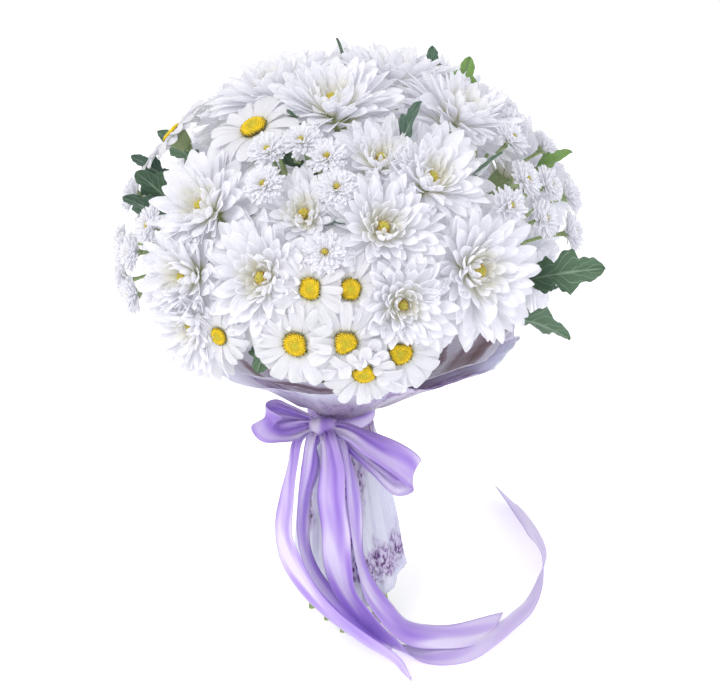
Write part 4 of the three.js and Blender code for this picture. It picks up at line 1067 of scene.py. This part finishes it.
# how far each tail's cut end slants to one side, and how far its middle stands out
TAIL_ENDS = [(5, 8), (8, 0), (7, 0), (13, 0)]
RIBBON_STEPS = 14
RIBBON_COLUMNS = 15
# how high above the floor the middle of a ribbon stays
ON_FLOOR = 0.3


def ribbon_grid(route, pinches, ends):
    """Points of a strip of ribbon, how far along it each row is, and where its columns are.

    pinches says how much of its width is left at its first points, where it folds up instead.
    """
    spots = smooth_curve([row[:3] for row in route], RIBBON_STEPS)
    ways = smooth_curve([row[3:] for row in route], RIBBON_STEPS)
    along = unit(np.gradient(spots, axis=0))
    side = unit(ways - along * np.sum(ways * along, axis=-1, keepdims=True))
    above = np.cross(along, side)
    place = (np.arange(len(spots)) / RIBBON_STEPS)[:, None]
    left = np.interp(place, np.arange(len(pinches)), pinches)
    s = np.linspace(-1, 1, RIBBON_COLUMNS)[None]
    zigzag = 2 * np.abs(((s * 1.5 + 0.25) % 1) - 0.5) - 0.5
    depth = np.maximum(1 - left**2, 0) * np.minimum(1, 2 * left) * zigzag * RIBBON_WIDTH * 0.26
    # the ribbon is cupped across, now one way and now the other, and ripples a little
    cup = 2.3 * (1 - s**2) * np.sin(0.8 * place + 0.9) * left
    slack = cup + 0.5 * np.sin(1.7 * place + 2.2 * s)
    out = s * left * RIBBON_WIDTH / 2
    length = np.concatenate([[0], np.cumsum(np.linalg.norm(np.diff(spots, axis=0), axis=1))])[:, None]
    # only the last 22 mm slant
    near_end = np.clip(1 - (length[-1] - length) / 22, 0, 1)
    slant = (ends[0] * s + ends[1] * (1 - np.abs(s))) * near_end
    grid = spots[:, None] + side[:, None] * out[..., None] + above[:, None] * (depth + slack)[..., None]
    grid = grid + along[:, None] * slant[..., None]
    return grid, length, s


def build_strip(name, route, pinches, sizes, material, ends=(0, 0)):
    grid, along, across = ribbon_grid(route, pinches, ends)
    grid[..., 2] = np.maximum(grid[..., 2], ON_FLOOR)
    body = Body()
    add_slabs(body, grid[None], sizes.ribbon_thickness * MM, along, across)
    piece = body.make(name, [material])
    return piece


# Strips wound once round: the middle, half of the size in the two directions that it goes round
# in, those directions, the width, how many creases run round it, and the seed of its creases.
BAND_RING = {
    "middle": (TIE["x"], 0, TIE["z"]), "half": (BAND_RADIUS + 0.6, BAND_RADIUS + 0.6),
    "axes": ((1, 0, 0), (0, 1, 0)), "width": 17, "folds": 4, "seed": 5,
}
KNOT_RING = {
    "middle": KNOT["at"], "half": (KNOT["half"][1] + 0.6, KNOT["half"][2] + 0.8),
    "axes": ((0, 1, 0), (0, 0, 1)), "width": 2 * KNOT["half"][0], "folds": 5, "seed": 9,
}
RING_STEPS = 97
RING_COLUMNS = 13


def build_ring(name, ring, sizes, material):
    """A strip of ribbon wound once round, creased along its run and drawn in at its edges."""
    rng = np.random.default_rng(ring["seed"])
    half, folds = ring["half"], ring["folds"]
    a = np.linspace(0, 2 * np.pi, RING_STEPS)[:, None]
    first, second = (np.array(axis, float) for axis in ring["axes"])
    third = np.cross(first, second)
    s = np.linspace(-1, 1, RING_COLUMNS)[None]
    crease = np.zeros((RING_STEPS, RING_COLUMNS))
    for k in range(folds):
        at = -0.8 + 1.6 * (k + 0.5) / folds + 0.16 * np.sin(a + rng.uniform(0, 6))
        crease += np.exp(-(((s - at) / 0.13) ** 2)) * rng.uniform(0.5, 1.0)
    bulge = 1 - 0.24 * np.abs(s) ** 3
    grid = (
        np.array(ring["middle"], float)
        + (np.cos(a) * (half[0] * bulge - crease * 0.9))[..., None] * first
        + (np.sin(a) * (half[1] * bulge - crease * 0.9))[..., None] * second
        + (s * ring["width"] / 2)[..., None] * third
    )
    # its end lies half a millimetre over its start
    lap = np.linspace(0, 1, RING_STEPS)[:, None, None]
    grid = grid + lap * 0.5 * (np.cos(a)[..., None] * first + np.sin(a)[..., None] * second)
    length = math.pi * (half[0] + half[1])
    body = Body()
    add_slabs(body, grid[None], sizes.ribbon_thickness * MM, a * length / (2 * np.pi), s)
    piece = body.make(name, [material])
    return piece


# ---------------------------------------------------------------- finishes


def add_node(tree, kind, inputs=None, stops=None, out=None, **settings):
    """Adds a node and returns the output to link from: the one named, or else the first in use.

    inputs gives sockets a value or a link, and stops are a colour ramp's.
    """
    made = tree.nodes.new(kind)
    for key, value in settings.items():
        setattr(made, key, value)
    for key, value in (inputs or {}).items():
        if isinstance(value, bpy.types.NodeSocket):
            tree.links.new(value, made.inputs[key])
        else:
            made.inputs[key].default_value = value
    if stops:
        ramp = made.color_ramp
        while len(ramp.elements) < len(stops):
            ramp.elements.new(0.5)
        for element, (place, colour) in zip(ramp.elements, stops):
            element.position = place
            element.color = colour
    return made.outputs[out] if out else next((socket for socket in made.outputs if socket.enabled), None)


def new_material(name, *marks):
    """A material, the function that adds a node to it, and an output for each mark it reads."""
    material = bpy.data.materials.new(name)
    material.use_nodes = True
    material.node_tree.nodes.clear()
    node = partial(add_node, material.node_tree)
    return material, node, [node("ShaderNodeAttribute", attribute_name=mark, out="Fac") for mark in marks]


def white_petal(name, colours, heart_reach, glow):
    """Fresh white petal, soft and a little waxy: matt, with fine veins along it, light that
    passes through, and a cream-green foot, which reaches further up the inner petals. The glow is
    painted light: the petal glows a little of its own, for the light that many thin petals pass on to one
    another."""
    material, node, [along, across, layer] = new_material(name, "along", "across", "layer")
    inner = node(
        "ShaderNodeMapRange",
        {"Value": layer, "From Min": 0.55, "From Max": 1.0, "To Max": heart_reach},
    )
    reach = node("ShaderNodeMath", {0: inner, 1: 0.22}, operation="ADD")
    foot = node("ShaderNodeMath", {0: along, 1: reach}, operation="DIVIDE")
    tint = node(
        "ShaderNodeValToRGB", {"Fac": foot},
        stops=[(0.0, (0.9, 0.9, 0.9, 1)), (0.55, (0.35, 0.35, 0.35, 1)), (1.0, (0, 0, 0, 1))],
    )
    colour = node(
        "ShaderNodeMix", {"Factor": tint, "A": tuple(colours.petal), "B": tuple(colours.heart)},
        data_type="RGBA",
    )
    # about five veins across a petal
    veins = node("ShaderNodeMath", {0: across, 1: 15.0}, operation="MULTIPLY")
    wave = node("ShaderNodeMath", {0: veins}, operation="SINE")
    bump = node("ShaderNodeBump", {"Strength": 0.22, "Distance": 0.0003, "Height": wave})
    shader = node(
        "ShaderNodeBsdfPrincipled",
        {
            "Base Color": colour, "Roughness": 0.55, "IOR": 1.4, "Specular IOR Level": 0.3,
            "Subsurface Weight": 0.5, "Subsurface Radius": (0.9, 0.9, 1.0), "Subsurface Scale": 0.003,
            "Sheen Weight": 0.12, "Normal": bump,
            # painted light: this emission makes the petal glow
            "Emission Color": (0.98, 0.99, 1.0, 1), "Emission Strength": glow,
        },
    )
    through = node("ShaderNodeBsdfTranslucent", {"Color": (0.95, 0.95, 1.0, 1)})
    mixed = node("ShaderNodeMixShader", {"Fac": 0.4, 1: shader, 2: through})
    node("ShaderNodeOutputMaterial", {"Surface": mixed})
    return material


def disc_floret(colours):
    """Pollen-covered disc florets: matt golden yellow, greener in the middle of the disc and
    dark green at its edge."""
    material, node, [along, layer] = new_material("disc_florets_pollen", "along", "layer")
    colour = node(
        "ShaderNodeValToRGB", {"Fac": along},
        stops=[
            (0.0, linear("#c3bd30")), (0.22, linear("#dcc01e")), (0.5, tuple(colours.disc)),
            (0.8, linear("#d8b814")), (1.0, linear("#3f4a1e")),
        ],
    )
    shade = node("ShaderNodeMapRange", {"Value": layer, "To Min": 0.82, "To Max": 1.12})
    speckle = node("ShaderNodeHueSaturation", {"Value": shade, "Color": colour})
    shader = node(
        "ShaderNodeBsdfPrincipled",
        {"Base Color": speckle, "Roughness": 0.8, "IOR": 1.4, "Subsurface Weight": 0.1,
         "Subsurface Scale": 0.001, "Sheen Weight": 0.2},
    )
    node("ShaderNodeOutputMaterial", {"Surface": shader})
    return material


def flower_eye():
    """The young florets at the heart of a full flower: waxy yellow green."""
    material, node, [along] = new_material("young_florets_waxy", "along")
    colour = node(
        "ShaderNodeValToRGB", {"Fac": along},
        stops=[(0.0, linear("#b9b54e")), (0.6, linear("#d8b956")), (1.0, linear("#a8853a"))],
    )
    shader = node(
        "ShaderNodeBsdfPrincipled",
        {"Base Color": colour, "Roughness": 0.6, "IOR": 1.4, "Subsurface Weight": 0.15,
         "Subsurface Scale": 0.001},
    )
    node("ShaderNodeOutputMaterial", {"Surface": shader})
    return material


def leaf_blade(colours):
    """Chrysanthemum leaf: matt grey green with a fine bloom of hairs, pale ribs and side veins."""
    material, node, [along, across, young] = new_material("leaf_blade_matt", "along", "across", "layer")
    away = node("ShaderNodeMath", {0: across}, operation="ABSOLUTE")
    rib = node(
        "ShaderNodeMapRange",
        {"Value": away, "From Min": 0.02, "From Max": 0.1, "To Min": 1.0, "To Max": 0.0},
    )
    slant = node("ShaderNodeMath", {0: away, 1: 0.3}, operation="MULTIPLY")
    lag = node("ShaderNodeMath", {0: along, 1: slant}, operation="SUBTRACT")
    count = node("ShaderNodeMath", {0: lag, 1: 7.0}, operation="MULTIPLY")
    cycle = node("ShaderNodeMath", {0: count}, operation="FRACT")
    off = node("ShaderNodeMath", {0: cycle, 1: 0.5}, operation="SUBTRACT")
    near = node("ShaderNodeMath", {0: off}, operation="ABSOLUTE")
    vein = node(
        "ShaderNodeMapRange",
        {"Value": near, "From Min": 0.02, "From Max": 0.09, "To Min": 0.6, "To Max": 0.0},
    )
    pale = node("ShaderNodeMath", {0: rib, 1: vein}, operation="MAXIMUM")
    # patches a few millimetres wide, as on any grown leaf
    patch = node("ShaderNodeTexNoise", {"Scale": 160.0, "Detail": 4.0})
    green = node(
        "ShaderNodeMix", {"Factor": young, "A": tuple(colours.leaf), "B": tuple(colours.young_leaf)},
        data_type="RGBA",
    )
    shade = node("ShaderNodeMapRange", {"Value": patch, "To Min": 0.72, "To Max": 1.25})
    mottled = node("ShaderNodeHueSaturation", {"Value": shade, "Color": green})
    ribs = node("ShaderNodeMix", {"Factor": pale, "A": mottled, "B": linear("#8fa78f")}, data_type="RGBA")
    bump = node("ShaderNodeBump", {"Strength": 0.5, "Distance": 0.0004, "Height": pale}, invert=True)
    shader = node(
        "ShaderNodeBsdfPrincipled",
        {"Base Color": ribs, "Roughness": 0.6, "IOR": 1.42, "Sheen Weight": 0.15, "Normal": bump},
    )
    through = node("ShaderNodeBsdfTranslucent", {"Color": linear("#5f8050")})
    mixed = node("ShaderNodeMixShader", {"Fac": 0.12, 1: shader, 2: through})
    node("ShaderNodeOutputMaterial", {"Surface": mixed})
    return material


def green_stem(name, green, ribs):
    """Fresh herbaceous stem or calyx: fine ribs along it and a satin skin, in patches of green."""
    material, node, [around] = new_material(name, "across")
    tone = node("ShaderNodeTexNoise", {"Scale": 90.0, "Detail": 3.0})
    colour = node("ShaderNodeValToRGB", {"Fac": tone}, stops=[(0.3, linear("#93a874")), (0.7, green)])
    turns = node("ShaderNodeMath", {0: around, 1: 8.0}, operation="MULTIPLY")
    wave = node("ShaderNodeMath", {0: turns}, operation="SINE")
    bump = node("ShaderNodeBump", {"Strength": ribs, "Distance": 0.0004, "Height": wave})
    shader = node(
        "ShaderNodeBsdfPrincipled",
        {"Base Color": colour, "Roughness": 0.5, "IOR": 1.42, "Subsurface Weight": 0.1,
         "Subsurface Scale": 0.001, "Normal": bump},
    )
    node("ShaderNodeOutputMaterial", {"Surface": shader})
    return material


def clear_film(name, tint, cover, printed, roughness):
    """Cast plastic film: thin and milky, with a glossy skin and sharp creases. Light comes through
    it, and its glow is painted light, for what its many layers pass on. Cover is how much of what
    is behind it a layer hides, from 0 to 1."""
    material, node, [around, height] = new_material(name, "along", "across")
    spot = node("ShaderNodeCombineXYZ", {"X": around, "Y": height})
    # soft crinkles a few millimetres wide
    crinkle = node("ShaderNodeTexNoise", {"Vector": spot, "Scale": 0.16, "Detail": 5.0})
    bump = node("ShaderNodeBump", {"Strength": 0.6, "Distance": 0.0015, "Height": crinkle})
    if printed:
        # a lavender print: soft clumps 45 mm apart, of florets about 3 mm wide and 6 mm high
        clumps = node("ShaderNodeTexNoise", {"Vector": spot, "Scale": 0.022, "Detail": 2.0})
        where = node("ShaderNodeMapRange", {"Value": clumps, "From Min": 0.48, "From Max": 0.62})
        upright = node("ShaderNodeVectorMath", {0: spot, 1: (0.3, 0.16, 1.0)}, operation="MULTIPLY")
        florets = node(
            "ShaderNodeTexNoise", {"Vector": upright, "Scale": 1.0, "Detail": 2.0, "Distortion": 0.8},
        )
        dots = node(
            "ShaderNodeMapRange",
            {"Value": florets, "From Min": 0.42, "From Max": 0.6, "To Min": 1.0, "To Max": 0.4},
        )
        ink = node("ShaderNodeMath", {0: where, 1: dots}, operation="MULTIPLY")
        inks = node(
            "ShaderNodeValToRGB", {"Fac": florets},
            stops=[
                (0.26, linear("#5d6a50")), (0.34, linear("#5a3a70")), (0.45, linear("#9a78b2")),
                (0.58, linear("#c6b0d8")),
            ],
        )
        # above the tie the film lies in many layers over the mauve lining, and is tinted mauve grey there:
        # partly that lining seen through, partly painted shade under the flowers
        layers = node("ShaderNodeMapRange", {"Value": height, "From Min": 258.0, "From Max": 222.0})
        above = node(
            "ShaderNodeMapRange",
            {"Value": height, "From Min": 176.0, "From Max": 190.0, "To Max": 0.85},
        )
        lining_and_painted_shade = node("ShaderNodeMath", {0: layers, 1: above}, operation="MULTIPLY")
        film = node(
            "ShaderNodeMix", {"Factor": lining_and_painted_shade, "A": tint, "B": linear("#8e7b9c")},
            data_type="RGBA",
        )
        colour = node("ShaderNodeMix", {"Factor": ink, "A": film, "B": inks}, data_type="RGBA")
        cover = node("ShaderNodeMapRange", {"Value": ink, "To Min": cover, "To Max": 0.95})
    else:
        # mauve brown and paler in long streaks round it: partly the film's own tint, partly painted shade
        # in its folds
        stretched = node("ShaderNodeVectorMath", {0: spot, 1: (0.012, 0.1, 1.0)}, operation="MULTIPLY")
        streak = node("ShaderNodeTexNoise", {"Vector": stretched, "Scale": 1.0, "Detail": 4.0})
        colour = node(
            "ShaderNodeValToRGB", {"Fac": streak},
            stops=[(0.36, tint), (0.45, linear("#cbb9c4")), (0.51, linear("#f4f1fa"))],
        )
    shader = node(
        "ShaderNodeBsdfPrincipled",
        {"Base Color": colour, "Roughness": roughness, "IOR": 1.5,
         "Coat Weight": 0.3, "Coat Roughness": 0.12,
         # painted light: this emission makes the film glow
         "Emission Color": colour, "Emission Strength": 0.13, "Normal": bump},
    )
    glowing = node("ShaderNodeBsdfTranslucent", {"Color": colour, "Normal": bump})
    milky = node("ShaderNodeMixShader", {"Fac": 0.4, 1: shader, 2: glowing})
    clear = node("ShaderNodeBsdfTransparent", {"Color": (0.97, 0.96, 1.0, 1)})
    mixed = node("ShaderNodeMixShader", {"Fac": cover, 1: clear, 2: milky})
    node("ShaderNodeOutputMaterial", {"Surface": mixed})
    return material


def satin_ribbon(colours):
    """Woven polyester satin: painted highlights and shade in bright and dark streaks along it,
    paler painted ends, a faint weave across it, and a darker woven edge."""
    material, node, [along, across] = new_material("satin_ribbon_woven", "along", "across")
    # weft threads 0.45 mm apart: drawn about three times as coarse as real ones, so they show
    picks = node("ShaderNodeMath", {0: along, 1: 14.0}, operation="MULTIPLY")
    weave = node("ShaderNodeMath", {0: picks}, operation="SINE")
    spot = node("ShaderNodeCombineXYZ", {"X": along, "Y": across})
    uneven = node("ShaderNodeTexNoise", {"Vector": spot, "Scale": 0.35, "Detail": 3.0})
    height = node("ShaderNodeMath", {0: weave, 1: 0.12}, operation="MULTIPLY")
    height = node("ShaderNodeMath", {0: height, 1: uneven}, operation="ADD")
    bump = node("ShaderNodeBump", {"Strength": 0.16, "Distance": 0.0006, "Height": height})
    away = node("ShaderNodeMath", {0: across}, operation="ABSOLUTE")
    edge = node("ShaderNodeMapRange", {"Value": away, "From Min": 0.93, "From Max": 0.97, "To Max": 0.35})
    # painted highlights and shade: bright and dark streaks that run along the ribbon, about 80 mm
    # long and 14 mm wide, where its soft folds would catch and lose the light
    stretched = node("ShaderNodeVectorMath", {0: spot, 1: (0.012, 0.9, 1.0)}, operation="MULTIPLY")
    streak = node("ShaderNodeTexNoise", {"Vector": stretched, "Scale": 1.0, "Detail": 1.0})
    lit = node(
        "ShaderNodeValToRGB", {"Fac": streak},
        stops=[(0.34, linear("#a37ee2")), (0.5, tuple(colours.satin)), (0.66, linear("#efe6fd"))],
    )
    # painted light: the ends lie in full light on the floor, so they are painted paler
    far = node(
        "ShaderNodeMapRange", {"Value": along, "From Min": 200.0, "From Max": 290.0, "To Max": 0.6},
    )
    pale = node("ShaderNodeMix", {"Factor": far, "A": lit, "B": linear("#eee5fc")}, data_type="RGBA")
    colour = node("ShaderNodeMix", {"Factor": edge, "A": pale, "B": linear("#a988da")}, data_type="RGBA")
    shader = node(
        "ShaderNodeBsdfPrincipled",
        {"Base Color": colour, "Roughness": 0.28, "IOR": 1.5, "Specular IOR Level": 0.8, "Anisotropic": 0.6,
         "Sheen Weight": 0.5, "Sheen Roughness": 0.35, "Sheen Tint": (0.93, 0.87, 1.0, 1), "Normal": bump},
    )
    through = node("ShaderNodeBsdfTranslucent", {"Color": tuple(colours.satin)})
    mixed = node("ShaderNodeMixShader", {"Fac": 0.18, 1: shader, 2: through})
    node("ShaderNodeOutputMaterial", {"Surface": mixed})
    return material


def jute_twine(colours):
    """Two-ply jute: dull, fibrous and uneven in tone."""
    material, node, _ = new_material("jute_twine_laid")
    fibre = node("ShaderNodeTexNoise", {"Scale": 900.0, "Detail": 4.0})
    colour = node(
        "ShaderNodeValToRGB", {"Fac": fibre},
        stops=[(0.3, linear("#8f7f5e")), (0.7, tuple(colours.twine))],
    )
    bump = node("ShaderNodeBump", {"Strength": 0.6, "Distance": 0.0003, "Height": fibre})
    shader = node("ShaderNodeBsdfPrincipled", {"Base Color": colour, "Roughness": 0.9, "Normal": bump})
    node("ShaderNodeOutputMaterial", {"Surface": shader})
    return material


def studio_floor(colours):
    """Matt white sweep lit from behind, as on a light table: even, very pale, and its glow fills
    the shade under the flowers."""
    material, node, _ = new_material("paper_sweep_matt")
    grain = node("ShaderNodeTexNoise", {"Scale": 300.0, "Detail": 2.0})
    bump = node("ShaderNodeBump", {"Strength": 0.02, "Distance": 0.0005, "Height": grain})
    shader = node(
        "ShaderNodeBsdfPrincipled",
        {"Base Color": tuple(colours.floor), "Roughness": 0.8, "Specular IOR Level": 0.2, "Normal": bump,
         "Emission Color": (1.0, 1.0, 1.0, 1), "Emission Strength": 0.36},
    )
    node("ShaderNodeOutputMaterial", {"Surface": shader})
    return material


# ---------------------------------------------------------------- stage


def add_camera():
    data = bpy.data.cameras.new("camera")
    data.lens = CAMERA["lens"]
    data.sensor_width = CAMERA["sensor"]
    camera = bpy.data.objects.new("camera", data)
    camera.location = [CAMERA["at"][k] / MM + SHIFT[k] / MM for k in range(3)]
    camera.rotation_euler = (math.radians(90 - CAMERA["down"]), 0, 0)
    bpy.context.scene.collection.objects.link(camera)
    bpy.context.scene.camera = camera


def add_light(name, at, aim, size, power, colour):
    data = bpy.data.lights.new(name, "AREA")
    data.size = size
    data.energy = power
    data.color = colour[:3]
    lamp = bpy.data.objects.new(name, data)
    lamp.location = at
    way = Vector(aim) - Vector(at)
    lamp.rotation_euler = way.to_track_quat("-Z", "Y").to_euler()
    bpy.context.scene.collection.objects.link(lamp)


def add_world():
    world = bpy.data.worlds.new("studio")
    world.use_nodes = True
    world.node_tree.nodes.clear()
    sky = add_node(world.node_tree, "ShaderNodeBackground", {"Color": linear("#fdfdff"), "Strength": 0.76})
    add_node(world.node_tree, "ShaderNodeOutputWorld", {"Surface": sky})
    bpy.context.scene.world = world


def add_floor(material):
    mesh = bpy.data.meshes.new("floor")
    # 12 by 12 metres, most of it behind the bunch
    mesh.from_pydata([(-6, -3, 0), (6, -3, 0), (6, 9, 0), (-6, 9, 0)], [], [(0, 1, 2, 3)])
    mesh.materials.append(material)
    floor = bpy.data.objects.new("floor", mesh)
    bpy.context.scene.collection.objects.link(floor)


# ---------------------------------------------------------------- operators


def finished(piece, slot, *nodes):
    """Seats a piece on the part: the nodes it stands for, and its body. The slot is not used."""
    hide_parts(*nodes)
    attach(piece, "root")


class BOUQUET_OT_stage(bpy.types.Operator):
    """Sets up the floor, the soft light and the camera"""

    bl_idname = "bouquet.stage"
    bl_label = "Stage"

    def execute(self, context):
        context.scene.view_settings.view_transform = "Standard"
        add_camera()
        add_world()
        add_floor(studio_floor(context.scene.bouquet_colours))
        for name, at, aim, size, power, code in LIGHTS:
            add_light(name, at, aim, size, power, linear(code))
        return {"FINISHED"}


class BOUQUET_OT_greens(bpy.types.Operator):
    """Grows the stems and the leaves"""

    bl_idname = "bouquet.greens"
    bl_label = "Stems and leaves"

    def execute(self, context):
        colours = context.scene.bouquet_colours
        stems = stem_list()
        skin = green_stem("stem_skin_fresh", tuple(colours.stem), ribs=0.5)
        cut = green_stem("stem_cut_end", linear("#d6dda8"), ribs=0.1)
        finished(build_stems(stems, [skin, cut]), "leaf", "stems_and_leaves")
        finished(build_leaves(stems, [leaf_blade(colours)]), "leaf", "stems_and_leaves")
        return {"FINISHED"}


class BOUQUET_OT_mums(bpy.types.Operator):
    """Grows the large chrysanthemums"""

    bl_idname = "bouquet.mums"
    bl_label = "Chrysanthemums"

    def execute(self, context):
        colours, sizes = context.scene.bouquet_colours, context.scene.bouquet_sizes
        petal = white_petal("chrysanthemum_petal_fresh", colours, heart_reach=0.85, glow=0.09)
        calyx = green_stem("calyx_green", tuple(colours.stem), ribs=0.3)
        eye = flower_eye()
        for k, site in enumerate(mums):
            finished(build_mum(k, site, sizes, [petal, calyx, eye]), "mum_petal", f"mum_{k + 1:02d}")
        return {"FINISHED"}


class BOUQUET_OT_daisies(bpy.types.Operator):
    """Grows the daisies and their discs"""

    bl_idname = "bouquet.daisies"
    bl_label = "Daisies"

    def execute(self, context):
        colours, sizes = context.scene.bouquet_colours, context.scene.bouquet_sizes
        petal = white_petal("daisy_petal_fresh", colours, heart_reach=0.05, glow=0.04)
        calyx = green_stem("daisy_calyx_green", tuple(colours.stem), ribs=0.3)
        pollen = disc_floret(colours)
        for k, site in enumerate(daisies):
            finished(build_daisy(k, site, sizes, [petal, calyx]), "daisy_petal", f"daisy_{k + 1:02d}")
            finished(build_disc(k, site, sizes, pollen), "disc", f"daisy_{k + 1:02d}_disc")
        return {"FINISHED"}


class BOUQUET_OT_sprays(bpy.types.Operator):
    """Grows the sprays of button flowers"""

    bl_idname = "bouquet.sprays"
    bl_label = "Button sprays"

    def execute(self, context):
        colours, sizes = context.scene.bouquet_colours, context.scene.bouquet_sizes
        petal = white_petal("button_petal_fresh", colours, heart_reach=0.35, glow=0.1)
        twig = green_stem("spray_twig_fresh", tuple(colours.stem), ribs=0.3)
        eye = flower_eye()
        for name, heads in sprays.items():
            finished(build_spray(name, heads, sizes, [petal, twig, eye]), "button_petal", f"spray_{name}")
        return {"FINISHED"}


class BOUQUET_OT_wraps(bpy.types.Operator):
    """Wraps the stems in the printed film and its lining"""

    bl_idname = "bouquet.wraps"
    bl_label = "Wraps"

    def execute(self, context):
        colours, sizes = context.scene.bouquet_colours, context.scene.bouquet_sizes
        film, lining = tuple(colours.film), tuple(colours.lining)
        finishes = {
            "film": clear_film("printed_film_cast", film, cover=0.74, printed=True, roughness=0.22),
            "lining": clear_film("lining_film_cast", lining, cover=0.8, printed=False, roughness=0.35),
        }
        for name, node in (("film", "wrap_outer"), ("lining", "wrap_inner")):
            piece = build_wrap(name, sizes, finishes[name])
            finished(piece, name, node)
        return {"FINISHED"}


class BOUQUET_OT_binding(bpy.types.Operator):
    """Winds the twine round the stems"""

    bl_idname = "bouquet.binding"
    bl_label = "Twine binding"

    def execute(self, context):
        finished(build_twine(jute_twine(context.scene.bouquet_colours)), "twine", "binding_twine")
        return {"FINISHED"}


class BOUQUET_OT_ribbon(bpy.types.Operator):
    """Ties the satin ribbon: its band, knot, loops and tails"""

    bl_idname = "bouquet.ribbon"
    bl_label = "Satin ribbon"

    def execute(self, context):
        sizes = context.scene.bouquet_sizes
        satin = satin_ribbon(context.scene.bouquet_colours)
        finished(build_ring("ribbon_band_satin", BAND_RING, sizes, satin), "satin", "ribbon_band")
        finished(build_ring("ribbon_knot", KNOT_RING, sizes, satin), "satin", "ribbon_bow")
        for k, route in enumerate(LOOPS):
            pinches = [*LOOP_PINCHES, *[1] * (len(route) - 6), *LOOP_PINCHES[::-1]]
            loop = build_strip(f"ribbon_loop_{k + 1}", route, pinches, sizes, satin)
            finished(loop, "satin", "ribbon_bow")
        for k, (route, ends) in enumerate(zip(TAILS, TAIL_ENDS)):
            strip = build_strip(f"ribbon_tail_{k + 1}", route, TAIL_PINCHES, sizes, satin, ends)
            finished(strip, "satin", "ribbon_bow")
        return {"FINISHED"}


class BOUQUET_PT_panel(bpy.types.Panel):
    """Lists the steps that build the bunch"""

    bl_idname = "BOUQUET_PT_panel"
    bl_label = "Bunch of daisies"
    bl_space_type = "VIEW_3D"
    bl_region_type = "UI"
    bl_category = "Bouquet"

    def draw(self, context):
        for step in STEPS:
            self.layout.operator(step.bl_idname)
        for group in (context.scene.bouquet_sizes, context.scene.bouquet_colours):
            box = self.layout.box()
            for key in type(group).__annotations__:
                box.prop(group, key)


STEPS = (
    BOUQUET_OT_stage, BOUQUET_OT_greens, BOUQUET_OT_mums, BOUQUET_OT_daisies, BOUQUET_OT_sprays,
    BOUQUET_OT_wraps, BOUQUET_OT_binding, BOUQUET_OT_ribbon,
)
CLASSES = (BouquetSizes, BouquetColours, *STEPS, BOUQUET_PT_panel)


def register():
    for cls in CLASSES:
        bpy.utils.register_class(cls)
    bpy.types.Scene.bouquet_sizes = PointerProperty(type=BouquetSizes)
    bpy.types.Scene.bouquet_colours = PointerProperty(type=BouquetColours)


def unregister():
    del bpy.types.Scene.bouquet_colours
    del bpy.types.Scene.bouquet_sizes
    for cls in reversed(CLASSES):
        bpy.utils.unregister_class(cls)


def main():
    register()
    bpy.ops.bouquet.stage()
    bpy.ops.bouquet.greens()
    bpy.ops.bouquet.mums()
    bpy.ops.bouquet.daisies()
    bpy.ops.bouquet.sprays()
    bpy.ops.bouquet.wraps()
    bpy.ops.bouquet.binding()
    bpy.ops.bouquet.ribbon()


if __name__ == "__main__":
    main()
